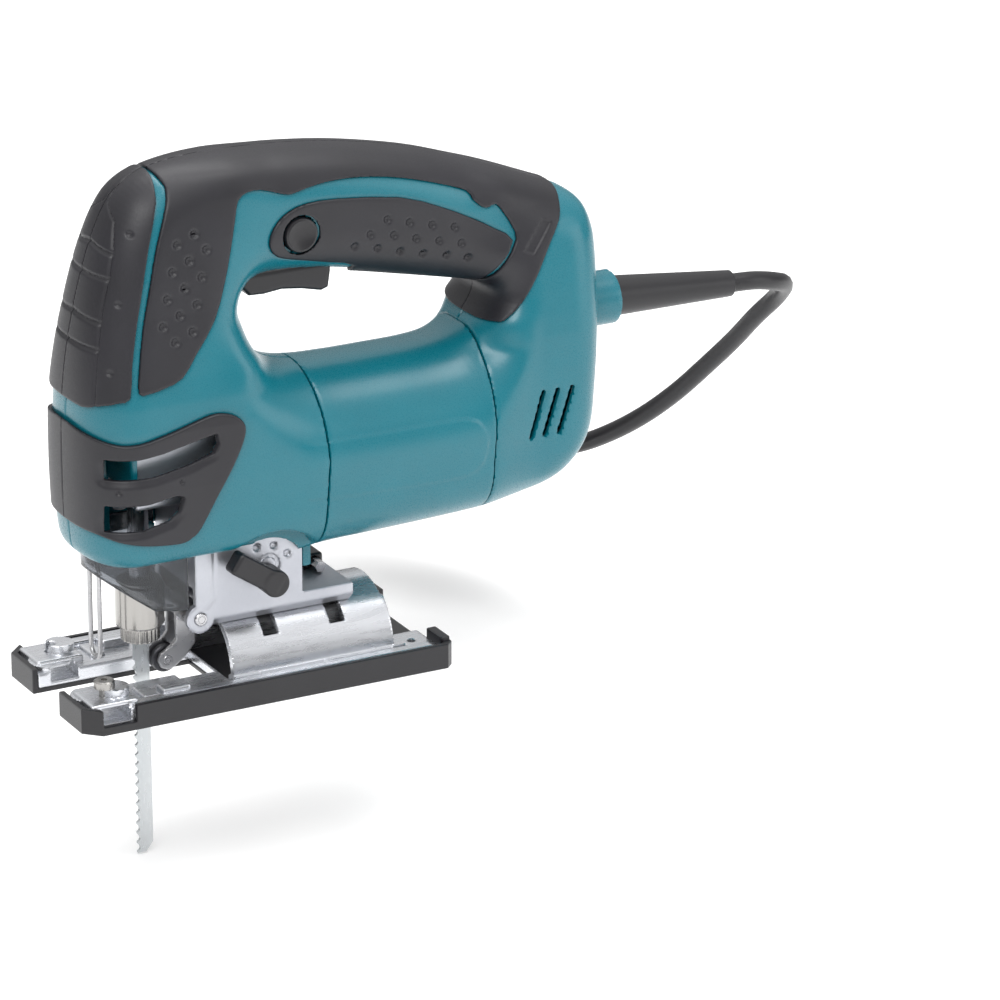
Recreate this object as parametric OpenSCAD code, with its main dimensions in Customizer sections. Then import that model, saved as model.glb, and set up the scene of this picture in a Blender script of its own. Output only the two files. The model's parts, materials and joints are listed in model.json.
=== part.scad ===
// Top-handle orbital jigsaw, corded, with its blade fitted.
// Frame: origin on the underside of the sole at its centre, front (the blade end) towards -X,
// the lever's side towards -Y, +Z up. All sizes are in millimetres.

/* [Sole plate] */
// Length of the sole over its plastic cover
base_l = 154; // [140:1:190]
// Width of the sole over its plastic cover
base_w = 77; // [72:1:96]
// Height of the rail tops above the work
base_h = 9.8; // [9:0.2:12]
// Width of the blade's slot between the front prongs
slot_w = 24; // [24:1:28]
// Outer radius of the bevel tunnel
tunnel_r = 24.3; // [24:0.1:26]
// Height of the bevel axis above the work
tilt_z = 6; // [5:0.5:7]

/* [Body] */
// Outer diameter of the motor barrel
barrel_d = 67; // [60:1:82]
// Length of the motor barrel between its two seams
barrel_l = 71; // [66:1:90]
// Height of the motor axis above the work
motor_z = 89.5; // [88:0.5:100]
// Wall of the plastic shells
wall = 3; // [2.4:0.1:3.6]
// Distance from the rod's axis to the front seam of the barrel
head_l = 64.5; // [62:0.5:76]
// Distance from the rear seam of the barrel to the rear face
tail_l = 53; // [46:1:64]
// Half width of the handle
grip_hw = 18.7; // [17:0.1:22]
// Half height of the handle
grip_hh = 23.5; // [20:0.1:24]
// Thickness of the rubber skins
rubber_t = 1.2; // [0.8:0.1:2]

/* [Drive] */
// Full stroke of the blade
stroke = 26; // [20:1:26]
// Module of the reduction gears
gear_module = 0.85; // [0.7:0.01:0.95]
// Teeth on the motor pinion
pinion_teeth = 8; // [7:1:9]
// Teeth on the drive gear
gear_teeth = 41; // [39:1:43]
// Diameter of the plunger rod
rod_d = 8; // [6.7:0.1:9.6]
// Width of the saw blade
blade_w = 6.5; // [5.4:0.1:7.8]
// Thickness of the saw blade
blade_t = 1.3; // [1:0.1:1.6]
// Reach of the blade below the work at the bottom of the stroke
blade_reach = 68; // [50:1:90]
// Radius of the back roller
roller_r = 5.5; // [5:0.1:6.5]

/* [Cord] */
// Diameter of the mains lead
cord_d = 7.5; // [6.5:0.1:8.5]

/* [Hidden] */

$fn = 48;
skin = 0.2;         // thickness of the slices that the smooth bodies are hulled from
gap = 0.3;          // air between parts that move past each other
running = 0.05;     // radial clearance of a shaft in its bearing
seam_gap = 0.2;     // shut line between neighbouring shells
oval_sides = 28;

// Stations along X
rod_x = -base_l / 2 + 39.5;
nose_x = rod_x - 28.5;
seam1_x = rod_x + head_l;
seam2_x = seam1_x + barrel_l;
rear_x = seam2_x + tail_l;

// Gears
mesh_r = (pinion_teeth + gear_teeth) * gear_module / 2;
gear_z = motor_z + mesh_r;
gear_pitch_r = gear_teeth * gear_module / 2;
pinion_pitch_r = pinion_teeth * gear_module / 2;
addendum = 0.7 * gear_module;
dedendum = 1.2 * gear_module;
gear_tip_r = gear_pitch_r + addendum;
gear_x0 = rod_x + 17.5;
gear_t = 6;
crank_r = stroke / 2;
crank_pin_r = 3;

// Gear case
case_wall = 3;
case_in = gear_tip_r + 1.5;
case_hw = case_in + case_wall;
case_x0 = rod_x - 10.5;
case_x1 = rod_x + 36.5;
case_rear = rod_x + 26.5;
shelf_z0 = motor_z - 9.5;
shelf_z1 = motor_z + 1;
case_z1 = gear_z + case_in + case_wall;
tower_h = 12;

// Leg and foot of the gear case
leg_hw = 18;
leg_x0 = rod_x + 15.2;
leg_x1 = rod_x + 60;
leg_z1 = motor_z - 28.5;
foot_x0 = rod_x + 25.5;
foot_x1 = rod_x + 81.5;
foot_z1 = 34;
saddle_r = tunnel_r + gap;
saddle_angle = 35.5;
tilt_max = 45;

// Bevel tunnel and clamp
tunnel_t = 3;
tunnel_x0 = rod_x + 27.5;
tunnel_x1 = rod_x + 95.5;
bolt_x = [rod_x + 45.5, rod_x + 73.5];
bolt_r = 2.5;
clamp_t = 3;
cover_t = 2;
cover_wall = 2.3;
rail_z = base_h - 2;

// Bearings and shafts
front_seat_r = 9.5;
gear_seat_r = 8.5;
rear_seat_r = 9.5;
shaft_r = 4;
bearing_w = 6;

// Motor
barrel_r = barrel_d / 2;
barrel_wall = 3.5;
barrel_in = barrel_r - barrel_wall;
stator_x0 = seam1_x + 2;
stator_x1 = stator_x0 + 38;
bore_r = 16.8;
core_r = bore_r - 0.5;
commutator_x0 = stator_x1 + 9;
commutator_r = 9.5;
brush_x = commutator_x0 + 5;
rear_bearing_x = seam2_x - 8;

// Blade clamp
sleeve_r = 9.4;
sleeve_z0 = 26;
sleeve_z1 = 43;
clamp_r = 6;
blade_top = 35;
yoke_z = gear_z - crank_r;
yoke_hh = 6;
yoke_x1 = rod_x + 9;

// Roller fork
fork_x = rod_x + 17.1;
fork_z = 30.5;
fork_pin_r = 2.5;
fork_hub_r = 4.5;
roller_x = rod_x + blade_w / 2 + 0.2 + roller_r;
roller_z = 11;
roller_hw = 3;
roller_pin_r = 2;
cheek_t = 1.8;
cheek_y = roller_hw + 0.4;

// Orbit lever
lever_x = rod_x + 44;
lever_z = 43.5;
lever_shaft_r = 3;
lever_rest = 146;
lever_reach = 20.3;
detent_first = 139;
detent_step = 34;
detent_r = 12;

// Handle controls
switch_z0 = motor_z + 79.5;
trigger_x0 = seam1_x - 23.5;
trigger_x1 = seam1_x + 14;
trigger_hw = 8;
lock_x = seam1_x - 4;
lock_z = motor_z + 87;
lock_r = 6.8;
dial_pos = [seam2_x + 24, 15, motor_z + 53.5];
dial_r = 12;
dial_t = 7;

// Chip cover
chip_hw = 16;
chip_t = 1.8;
chip_front = rod_x - 6.5;
chip_rear = leg_x0 - 2;
chip_z1 = 66;

// Shell: half widths are insets from the widest half width
body_r = max(barrel_r, case_hw + wall + 7);
// Head levels: height over the motor axis, front set-back, rear set-back, inset
head_levels = [[-31.5, 34, 0, 9], [-27, 9, 0, 6.5], [-21, 2, 0, 5], [0, 0, 0, 3.5],
    [23, 0, 0, 3.5], [33, 1, 0, 4.5], [37, 1.6, 0, 5], [41, 2.2, 8, 5.5], [45, 3, 19, 6],
    [55, 4.5, 24, 7.5], [69, 7.5, 26, 10], [80, 10.5, 26, 12.5], [92, 14, 30, 15],
    [105, 20, 38, 20], [111, 26, 46, 25], [114.5, 33, 54, 30]];
// Tail levels: height over the motor axis, front set-back from the rear seam, rear set-back, inset
tail_levels = [[-32, 0, 30, 14], [-28.5, 0, 19, 9.5], [-23.5, 0, 12, 7], [-14.5, 0, 6, 5.5],
    [0, 0, 2, 5], [20, 0, 0.5, 5], [33, 0, 0, 6], [37.5, 4, 0, 6.5], [41.5, 7, 0, 7.5], [47, 9.5, 0, 8],
    [54, 8, 0, 9.5], [60.5, 5, 0, 11], [68.5, 7, 0.5, 13], [75.5, 13, 3, 15], [80.5, 22, 8, 18.5],
    [83.5, 32, 15, 23]];
// Handle stations: place along X, height over the motor axis, tilt, extra half height
handle_stations = [[seam1_x - 52, 92, 0, 1.5], [seam1_x - 27, 93, 2, 0.9], [seam1_x - 2, 93, 4, 0],
    [seam1_x + 23, 89.7, 8, 0.2], [seam1_x + 48, 84.3, 11, 0.2], [seam2_x - 1, 78.4, 14, -0.6],
    [seam2_x + 21, 72.3, 17, -2.5], [rear_x - 13, 67.5, 17, -6.5]];

// Screw posts: places in side view where the two shells are screwed together
post_r = 4.2;
screw_r = 1.9;
posts = [[nose_x + 14, motor_z + 63], [seam1_x - 37, motor_z + 73], [seam1_x + 33, motor_z + 83],
    [rear_x - 22, motor_z + 69], [rear_x - 12, motor_z - 12]];
post_hw = 12;

// Cord
boss_z = motor_z + 35.3;
boss_r = 10.6;
boss_l = 14;
guard_r = 8;
guard_tip_r = 5.2;
guard_l = 54;
guard_dip = 3.4;
guard_tip = [rear_x + boss_l + guard_l * cos(guard_dip), 0, boss_z - guard_l * sin(guard_dip)];
coil_centre = [160, 190];
coil_mean = 41.5;
coil_h = 2 * cord_d + 0.5;
coil_hw = 19.5;
// The lead's route from the strain relief down to the coil, and from the coil to the plug
lead_points = [[230, 0, 121], [241, 3, 118], [250, 11, 113], [254, 23, 104], [252, 36, 92],
    [250, 50, 78], [246, 65, 63], [241, 80, 48], [235, 96, 34], [229, 113, 22], [223, 131, 12],
    [219, 150, 6], [217, 170, 4], [217, 190, 4]];
plug_points = [[190, 240, 4], [179, 248, 5], [167, 256, 7], [154, 261, 10], [142, 263, 13]];
plug_at = plug_points[4];

function oval(a, b, power, n = oval_sides) = [for (i = [0:n - 1])
    let (c = cos(360 * i / n), s = sin(360 * i / n))
    [a * sign(c) * pow(abs(c), 2 / power), b * sign(s) * pow(abs(s), 2 / power)]];
// Signed growth of the first and last slice of a chain, so that a wall closes its ends
function end_shift(i, n, g) = i == 0 ? -g : i == n - 1 ? g : 0;
function on_circle(r, a) = [r * cos(a), r * sin(a)];
// A gear outline with straight flanks, tooth 0 centred on angle start
function gear_outline(teeth, start) = let (p = teeth * gear_module / 2, step = 360 / teeth)
    [for (i = [0:teeth - 1], k = [[p - dedendum, -0.3], [p + addendum, -0.1],
        [p + addendum, 0.1], [p - dedendum, 0.3]])
        on_circle(k[0], start + (i + k[1]) * step)];

module block(a, b) { translate(a) cube(b - a); }
module along_x(x0, x1, r, y = 0, z = 0) { translate([x0, y, z]) rotate([0, 90, 0]) cylinder(r = r, h = x1 - x0); }
module along_y(y0, y1, r, x = 0, z = 0) { translate([x, y0, z]) rotate([-90, 0, 0]) cylinder(r = r, h = y1 - y0); }
module upright(z0, z1, r, x = 0, y = 0) { translate([x, y, z0]) cylinder(r = r, h = z1 - z0); }
// A side-view outline (X, Z) as a prism between two planes of Y
module side_prism(y0, y1) { translate([0, y1, 0]) rotate([90, 0, 0]) linear_extrude(y1 - y0) children(); }
// A front-view outline (Y, Z) as a prism between two planes of X
module front_prism(x0, x1) { translate([x0, 0, 0]) rotate([90, 0, 90]) linear_extrude(x1 - x0) children(); }
module tube_x(x0, x1, r_out, r_in, z) {
    difference() {
        along_x(x0, x1, r_out, z = z);
        along_x(x0 - 1, x1 + 1, r_in, z = z);
    }
}

// ---- smooth bodies that the shells, skins and cavities share ----
module level_slice(z, x0, x1, hw) {
    translate([(x0 + x1) / 2, 0, z]) linear_extrude(skin) polygon(oval((x1 - x0) / 2, hw, 3.6));
}
module level_chain(levels, x0, x1, g) {
    n = len(levels);
    for (i = [0:n - 2]) hull() for (k = [i, i + 1]) let (v = levels[k])
        level_slice(motor_z + v[0] + end_shift(k, n, g), x0 + v[1] - g, x1 - v[2] + g, body_r - v[3] + g);
}
module station_slice(v, g) {
    translate([v[0], 0, motor_z + v[1]]) rotate([0, v[2], 0]) rotate([90, 0, 90]) linear_extrude(skin)
        polygon(oval(grip_hw + g, grip_hh + v[3] + g, 2.4));
}
module handle_chain(g) {
    for (i = [0:len(handle_stations) - 2]) hull() {
        station_slice(handle_stations[i], g);
        station_slice(handle_stations[i + 1], g);
    }
}
module barrel_blend(g) {
    hull() {
        along_x(seam1_x - 72, seam1_x - 71, barrel_r - 10 + g, z = motor_z);
        along_x(seam1_x - 27, seam1_x - 26, barrel_r - 0.5 + g, z = motor_z);
    }
    along_x(seam1_x - 27, seam1_x, barrel_r + g, z = motor_z);
    hull() {
        along_x(seam2_x, seam2_x + 2, barrel_r + g, z = motor_z);
        along_x(seam2_x + 26, seam2_x + 27, barrel_r - 6 + g, z = motor_z);
    }
}
// Section of the barrel: round above, deeper and squarer below
module barrel_section(g) {
    hull() {
        translate([0, motor_z]) circle(r = barrel_r + g);
        for (s = [-1, 1]) translate([s * (barrel_r - 16), motor_z - barrel_r + 9.5]) circle(r = 14 + g);
    }
}
module body_solid(g) {
    level_chain(head_levels, nose_x, seam1_x, g);
    level_chain(tail_levels, seam2_x, rear_x, g);
    handle_chain(g);
    barrel_blend(g);
}
module side_half(side, y0 = 0) {
    reach = 60;
    block([nose_x - 20, side < 0 ? -reach : y0, -5], [rear_x + 40, side < 0 ? -y0 : reach, motor_z + 130]);
}
// The solid of one rubber skin: the body grown, less the body, within a side-view outline
module rubber_skin(side, y0, t, low = 0) {
    difference() {
        intersection() {
            body_solid(t);
            side_half(side, y0);
            side_prism(-60, 60) children();
        }
        body_solid(low);
    }
}
module chip_outline(inset) {
    translate([chip_front, 0]) circle(r = chip_hw - inset);
    translate([chip_front, -chip_hw + inset]) square([chip_rear - chip_front, 2 * (chip_hw - inset)]);
}
module dial_slot() {
    translate([dial_pos[0], dial_pos[1], dial_pos[2] - dial_t / 2 - gap]) cylinder(r = dial_r + 0.5, h = dial_t + 2 * gap);
}
module shell_cuts() {
    body_solid(-wall);
    // the barrel, and the joint faces at its two seams
    front_prism(seam1_x - seam_gap, seam2_x + seam_gap) barrel_section(seam_gap);
    along_x(seam1_x - 30, seam1_x, barrel_in, z = motor_z);
    along_x(seam2_x, seam2_x + 6, barrel_in, z = motor_z);
    // underside: the gear case's leg, and the space in which the clamp and chip cover rise
    block([leg_x0 - 3, -leg_hw - seam_gap, motor_z - 45], [leg_x1 + seam_gap, leg_hw + seam_gap, leg_z1 + 0.5]);
    translate([0, 0, motor_z - 45]) linear_extrude(45 - 9.5) chip_outline(-gap - 0.2);
    block([rod_x - 4, -chip_hw, motor_z - 45], [leg_x0, chip_hw, shelf_z0]);
    // room for the orbit lever's swing
    along_y(-60, -leg_hw - 3.5, lever_reach + 1.2, lever_x, lever_z);
    // trigger slot, lock button, dial slot
    block([trigger_x0 - 0.5, -trigger_hw - 0.5, motor_z + 55], [trigger_x1 + 0.5, trigger_hw + 0.5, switch_z0 - 1]);
    along_y(-grip_hw - 5, -grip_hw + 8, lock_r + gap, lock_x, lock_z);
    dial_slot();
    // cord entry
    along_x(rear_x - 12, rear_x + boss_l + 1, guard_r + 0.1, z = boss_z);
    // cooling slots
    for (s = [-1, 1], i = [0:2]) translate([seam2_x + 20 + 6.3 * i, s * 27, motor_z + 3])
        rotate([0, 18, 0]) cube([2.2, 12, 20], center = true);
}
module shell_posts(side) {
    for (p = posts) intersection() {
        along_y(-post_hw - 6, post_hw + 6, post_r, p[0], p[1]);
        side_half(side);
        body_solid(-0.5);
    }
}
module shell(side) {
    difference() {
        union() {
            difference() {
                intersection() {
                    union() {
                        body_solid(0);
                        along_x(rear_x - 6, rear_x + boss_l, boss_r, z = boss_z);
                        block([leg_x1 + seam_gap, -8, motor_z - 46], [leg_x1 + 4.2, 8, motor_z - 28]);
                        for (s = [-1, 1]) block([leg_x1 + seam_gap, s * 13 - 4, motor_z - 46],
                            [leg_x1 + 4.2, s * 13 + 4, motor_z - 24]);
                    }
                    side_half(side);
                }
                shell_cuts();
            }
            shell_posts(side);
        }
        for (p = posts) {
            along_y(side < 0 ? -post_hw : -1, side < 0 ? 1 : 60, screw_r + 0.1, p[0], p[1]);
            if (side > 0) along_y(post_hw - 2, 60, post_r - 0.4, p[0], p[1]);
        }
    }
}
module housing_left() { color("teal") shell(-1); }
module housing_right() { color("teal") shell(1); }

// The one-piece barrel that carries the field and the rear bearing
module motor_housing() {
    color("teal") difference() {
        union() {
            difference() {
                front_prism(seam1_x, seam2_x) barrel_section(0);
                along_x(seam1_x - 1, seam2_x + 1, barrel_in, z = motor_z);
            }
            along_x(rear_bearing_x - 1, seam2_x, rear_seat_r + 4, z = motor_z);
            difference() {
                along_x(rear_bearing_x - 1, rear_bearing_x + 3, barrel_in + 0.5, z = motor_z);
                for (a = [45:90:315]) translate([rear_bearing_x - 2, 0, motor_z]) rotate([a, 0, 0])
                    block([0, rear_seat_r + 5, -5], [6, barrel_in - 3, 5]);
            }
        }
        along_x(rear_bearing_x, seam2_x + 1, rear_seat_r, z = motor_z);
        along_x(rear_bearing_x - 3, seam2_x + 1, shaft_r + 1.5, z = motor_z);
    }
}

// ---- soft skins ----
module grip_outline() {
    polygon([[nose_x + 17.4, motor_z + 38.7], [nose_x + 18.2, motor_z + 46.7],
        [nose_x + 21, motor_z + 61.7], [nose_x + 24.8, motor_z + 76.5],
        [nose_x + 28.9, motor_z + 91.3], [nose_x + 33.8, motor_z + 103.8],
        [nose_x + 36.5, motor_z + 111.6], [nose_x + 37.5, motor_z + 126.5],
        [seam2_x + 39.5, motor_z + 126.5], [seam2_x + 39.5, motor_z + 91.5],
        [seam2_x + 36.1, motor_z + 82.7], [seam2_x + 33.8, motor_z + 77.1],
        [seam2_x + 28.5, motor_z + 69.5], [seam2_x + 22.5, motor_z + 59.1],
        [seam2_x + 15.7, motor_z + 48.2], [seam2_x + 9.5, motor_z + 42.3],
        [seam2_x + 6.3, motor_z + 40.5], [seam2_x - 1, motor_z + 40.5],
        [seam2_x - 2, motor_z + 48.5], [seam2_x + 3, motor_z + 54], [seam2_x + 8.5, motor_z + 62.5],
        [seam2_x + 14.3, motor_z + 72.3], [seam2_x + 13, motor_z + 77.6],
        [seam2_x + 10.4, motor_z + 82.3], [seam2_x + 6.8, motor_z + 86.8],
        [seam2_x + 3.8, motor_z + 85.9], [seam2_x + 0.9, motor_z + 86.5],
        [seam2_x - 2.6, motor_z + 89.8], [seam2_x - 4.9, motor_z + 93.4],
        [seam1_x + 52.7, motor_z + 98.3], [seam1_x + 39.5, motor_z + 102],
        [seam1_x + 27.6, motor_z + 104.3], [seam1_x + 16.8, motor_z + 105.4],
        [seam1_x + 7, motor_z + 105.4], [seam1_x - 2, motor_z + 104.3],
        [seam1_x - 8.4, motor_z + 103.1], [seam1_x - 13.4, motor_z + 104.4],
        [seam1_x - 19.9, motor_z + 106.5], [seam1_x - 25.7, motor_z + 106.5],
        [seam1_x - 29.5, motor_z + 104.1], [seam1_x - 31, motor_z + 98.3],
        [seam1_x - 33.8, motor_z + 86.7], [seam1_x - 37.7, motor_z + 73.5],
        [nose_x + 50.4, motor_z + 61.5], [nose_x + 41.7, motor_z + 50],
        [nose_x + 35.4, motor_z + 42], [nose_x + 27.7, motor_z + 39.3],
        [nose_x + 21.1, motor_z + 38.2]]);
}
module pad_outline() {
    polygon([[seam1_x - 17, motor_z + 83.5], [seam1_x - 17, motor_z + 88.1], [seam1_x - 14, motor_z + 93],
        [seam1_x - 9.1, motor_z + 96.7], [seam1_x - 1.5, motor_z + 98.9],
        [seam1_x + 11.9, motor_z + 98.8], [seam1_x + 37.7, motor_z + 95.4],
        [seam2_x - 16.7, motor_z + 89.4], [seam2_x - 3.2, motor_z + 82.9],
        [seam2_x + 6.3, motor_z + 77.5], [seam2_x + 13.2, motor_z + 72.3],
        [seam2_x + 7.5, motor_z + 62.8], [seam2_x + 2, motor_z + 54.4],
        [seam2_x + 1, motor_z + 48.5], [seam1_x + 21, motor_z + 48.5],
        [seam1_x + 20.9, motor_z + 69.1], [seam1_x + 9.3, motor_z + 72.8],
        [seam1_x - 5.9, motor_z + 76.6], [seam1_x - 13.3, motor_z + 79.2]]);
}
module bumper_outline() {
    polygon([[nose_x - 4, motor_z + 33.5], [nose_x + 5, motor_z + 34.4], [nose_x + 9.5, motor_z + 35.8],
        [nose_x + 14.1, motor_z + 37.5], [nose_x + 15.7, motor_z + 48.6],
        [nose_x + 18.3, motor_z + 61], [nose_x + 21.7, motor_z + 75.1],
        [nose_x + 25.9, motor_z + 91.5], [nose_x + 30.2, motor_z + 104.1],
        [nose_x + 32.4, motor_z + 110.4], [nose_x + 33, motor_z + 122.5],
        [nose_x - 4, motor_z + 122.5]]);
}
module vent_outline() {
    polygon([[nose_x - 6, motor_z + 27], [nose_x + 8, motor_z + 20], [nose_x + 22, motor_z + 21],
        [nose_x + 44, motor_z + 26.5], [nose_x + 54, motor_z + 26], [nose_x + 59, motor_z + 21],
        [nose_x + 54, motor_z + 6], [nose_x + 41, motor_z - 17], [nose_x + 32, motor_z - 22],
        [nose_x + 10, motor_z - 19], [nose_x - 6, motor_z - 13]]);
}
module vent_window(dz, x1, h) {
    side_prism(-60, 60) polygon([[nose_x + 5, motor_z + dz], [x1, motor_z + dz + 2.5],
        [x1 - 1, motor_z + dz - 3], [x1 - 16, motor_z + dz - h + 1], [nose_x + 5, motor_z + dz - h]]);
}
module grip(side) {
    difference() {
        rubber_skin(side, 0, rubber_t) grip_outline();
        dial_slot();
    }
}
module handle_pad(side) {
    difference() {
        rubber_skin(side, 7, rubber_t) pad_outline();
        if (side < 0) along_y(-grip_hw - 5, 0, lock_r + 1, lock_x, lock_z);
    }
}
module bumper(side) { rubber_skin(side, 0.2, rubber_t + 0.6) bumper_outline(); }
module vent_cover(side) {
    difference() {
        rubber_skin(side, 0.2, rubber_t + 0.6) vent_outline();
        vent_window(13.5, nose_x + 47, 7.5);
        vent_window(-5, nose_x + 33, 10);
    }
}
module grip_left() { color("dimgray") grip(-1); }
module grip_right() { color("dimgray") grip(1); }
module handle_pad_left() { color("dimgray") handle_pad(-1); }
module handle_pad_right() { color("dimgray") handle_pad(1); }
module bumper_left() { color("dimgray") bumper(-1); }
module bumper_right() { color("dimgray") bumper(1); }
module vent_cover_left() { color("dimgray") vent_cover(-1); }
module vent_cover_right() { color("dimgray") vent_cover(1); }

// ---- gear case: chamber, rod guides, leg, foot ----
module foot_profile(top) {
    edge = on_circle(saddle_r, 90 - saddle_angle);
    rise = leg_hw - edge[0];
    difference() {
        polygon([[-leg_hw, top], [leg_hw, top], [leg_hw, tilt_z + edge[1] + rise], [edge[0], tilt_z + edge[1]],
            [-edge[0], tilt_z + edge[1]], [-leg_hw, tilt_z + edge[1] + rise]]);
        translate([0, tilt_z]) circle(r = saddle_r);
    }
}
module gear_housing() {
    lug_r = 5.7;
    lug_t = 3;
    color("silver") difference() {
        union() {
            block([case_x0, -case_hw, shelf_z0], [case_x1, case_hw, case_z1]);
            block([rod_x - 8, -8, case_z1 - 1], [rod_x + 8, 8, case_z1 + tower_h]);
            block([leg_x0, -leg_hw, leg_z1 - 1], [case_x1, leg_hw, shelf_z0 + 1]);
            front_prism(leg_x0, leg_x1) foot_profile(leg_z1);
            front_prism(foot_x0, foot_x1) foot_profile(foot_z1);
            along_y(-leg_hw, leg_hw, lug_r, fork_x, fork_z);
        }
        // gear chamber, with the pinion's pocket
        block([case_x0 + case_wall, -case_in, shelf_z1], [case_rear, case_in, case_z1 - case_wall]);
        along_x(gear_x0 - 2.5, case_rear + 1, pinion_pitch_r + 2.2, z = motor_z);
        // bearing seats
        along_x(case_x1 - bearing_w - 1, case_x1 + 1, front_seat_r, z = motor_z);
        along_x(case_rear, case_x1 + 1, shaft_r + 1.5, z = motor_z);
        along_x(case_rear - 1, case_rear + bearing_w + 1, gear_seat_r, z = gear_z);
        // rod guides
        upright(shelf_z0 - 1, shelf_z1 + 1, rod_d / 2 + 2.5, rod_x);
        upright(case_z1 - case_wall - 1, case_z1 + tower_h + 1, rod_d / 2 + 2.5, rod_x);
        // the leg's hollow, the fork's slot and the two cross bores
        block([leg_x0 + 8, -12, 37], [leg_x1 - 5, 12, leg_z1 - 3]);
        block([leg_x0 - 6, -leg_hw + lug_t, 20], [leg_x0 + 8, leg_hw - lug_t, 42]);
        along_y(-leg_hw - 1, leg_hw + 1, fork_pin_r, fork_x, fork_z);
        along_y(-leg_hw - 1, -11, lever_shaft_r + running, lever_x, lever_z);
        // detent dimples, and the tapped holes of the clamp bolts
        for (i = [0:3]) let (p = on_circle(detent_r, detent_first - i * detent_step))
            along_y(-leg_hw - 1, -leg_hw + 0.6, 1.4, lever_x + p[0], lever_z + p[1]);
        for (x = bolt_x) upright(tilt_z + saddle_r - 3, foot_z1 - 0.6, bolt_r, x);
        for (s = [-1, 1]) along_x(case_x0 - 1, case_x0 + 12, 2, y = s * (case_hw - 4), z = case_z1 - 5);
    }
}
module gear_housing_screws() {
    color("gray") for (s = [-1, 1]) {
        along_x(case_x0 - 3, case_x0, 3.4, y = s * (case_hw - 4), z = case_z1 - 5);
        along_x(case_x0, case_x0 + 12, 2, y = s * (case_hw - 4), z = case_z1 - 5);
    }
}
module bushing(z0, z1) {
    difference() {
        upright(z0, z1, rod_d / 2 + 2.5, rod_x);
        upright(z0 - 1, z1 + 1, rod_d / 2 + running, rod_x);
    }
}
module rod_bushings() {
    color("goldenrod") {
        bushing(shelf_z0, shelf_z1);
        bushing(case_z1 - case_wall, case_z1 + tower_h);
    }
}
module bearing(x0, r_out, r_in, z) {
    color("silver") difference() {
        tube_x(x0, x0 + bearing_w, r_out, r_in, z);
        tube_x(x0 - 1, x0 + 0.4, r_out - 1.6, r_in + 1.6, z);
        tube_x(x0 + bearing_w - 0.4, x0 + bearing_w + 1, r_out - 1.6, r_in + 1.6, z);
    }
}
module gear_bearing() { bearing(case_rear + 1, gear_seat_r, shaft_r + running, gear_z); }
module front_bearing() { bearing(case_x1 - bearing_w - 1, front_seat_r, shaft_r + running, motor_z); }
module rear_bearing() { bearing(rear_bearing_x, rear_seat_r, shaft_r + running, motor_z); }

// ---- motor, fixed half ----
module stator_core() {
    color("gray") tube_x(stator_x0, stator_x1, barrel_in, bore_r + 6, motor_z);
}
module field_coils() {
    color("peru") difference() {
        tube_x(stator_x0 - 5, stator_x1 + 5, bore_r + 5.8, bore_r, motor_z);
        for (s = [-1, 1]) block([stator_x0 - 6, s * bore_r - 12, motor_z - 4], [stator_x1 + 6, s * bore_r + 12, motor_z + 4]);
    }
}
module brush_holders() {
    color("sandybrown") for (s = [-1, 1]) difference() {
        block([brush_x - 5.5, s > 0 ? 13 : -barrel_in + 1.5, motor_z - 6.5],
            [brush_x + 5.5, s > 0 ? barrel_in - 1.5 : -13, motor_z + 6.5]);
        block([brush_x - 3.2, -25, motor_z - 4.2], [brush_x + 3.2, 25, motor_z + 4.2]);
    }
}
module carbon_brushes() {
    color("dimgray") for (s = [-1, 1]) difference() {
        block([brush_x - 3.2, s > 0 ? commutator_r - 1 : -25, motor_z - 4.2],
            [brush_x + 3.2, s > 0 ? 25 : -commutator_r + 1, motor_z + 4.2]);
        along_x(brush_x - 4, brush_x + 4, commutator_r + running, z = motor_z);
    }
}

// ---- motor, turning half ----
module armature_shaft() {
    color("silver") {
        along_x(gear_x0 + gear_t + 1.5, rear_bearing_x + bearing_w + 1, shaft_r, z = motor_z);
        front_prism(gear_x0 - 1, gear_x0 + gear_t + 1.5) translate([0, motor_z])
            polygon(gear_outline(pinion_teeth, 90));
    }
}
module armature_core() {
    color("dimgray") tube_x(stator_x0, stator_x1, core_r, shaft_r, motor_z);
    color("peru") {
        tube_x(stator_x0 - 6, stator_x0, core_r - 2, shaft_r, motor_z);
        tube_x(stator_x1, stator_x1 + 6, core_r - 2, shaft_r, motor_z);
    }
}
module commutator() {
    color("peru") difference() {
        tube_x(commutator_x0, commutator_x0 + 11, commutator_r, shaft_r, motor_z);
        for (a = [0:18:342]) translate([commutator_x0 - 1, 0, motor_z]) rotate([a, 0, 0])
            block([0, commutator_r - 0.8, -0.2], [13, commutator_r + 1, 0.2]);
    }
}
module fan() {
    fan_x = seam1_x - 21;
    fan_r = min(barrel_in, body_r - wall - 3.5) - 2;
    color("gray") {
        tube_x(fan_x, fan_x + 2, fan_r, shaft_r, motor_z);
        tube_x(fan_x, fan_x + 11, shaft_r + 4, shaft_r, motor_z);
        for (a = [0:30:330]) translate([fan_x + 1, 0, motor_z]) rotate([a, 0, 0])
            block([0, shaft_r + 3, -0.8], [9, fan_r - 1, 0.8]);
    }
}

// ---- reduction and crank ----
module drive_gear() {
    mesh_shift = 90 / gear_teeth * 2;
    color("silver") {
        difference() {
            front_prism(gear_x0, gear_x0 + gear_t) translate([0, gear_z])
                polygon(gear_outline(gear_teeth, -90 + mesh_shift));
            along_x(gear_x0 - 1, gear_x0 + gear_t + 1, crank_pin_r, z = gear_z - crank_r);
        }
        along_x(gear_x0 + gear_t, case_rear + bearing_w + 0.5, shaft_r, z = gear_z);
    }
}
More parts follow.
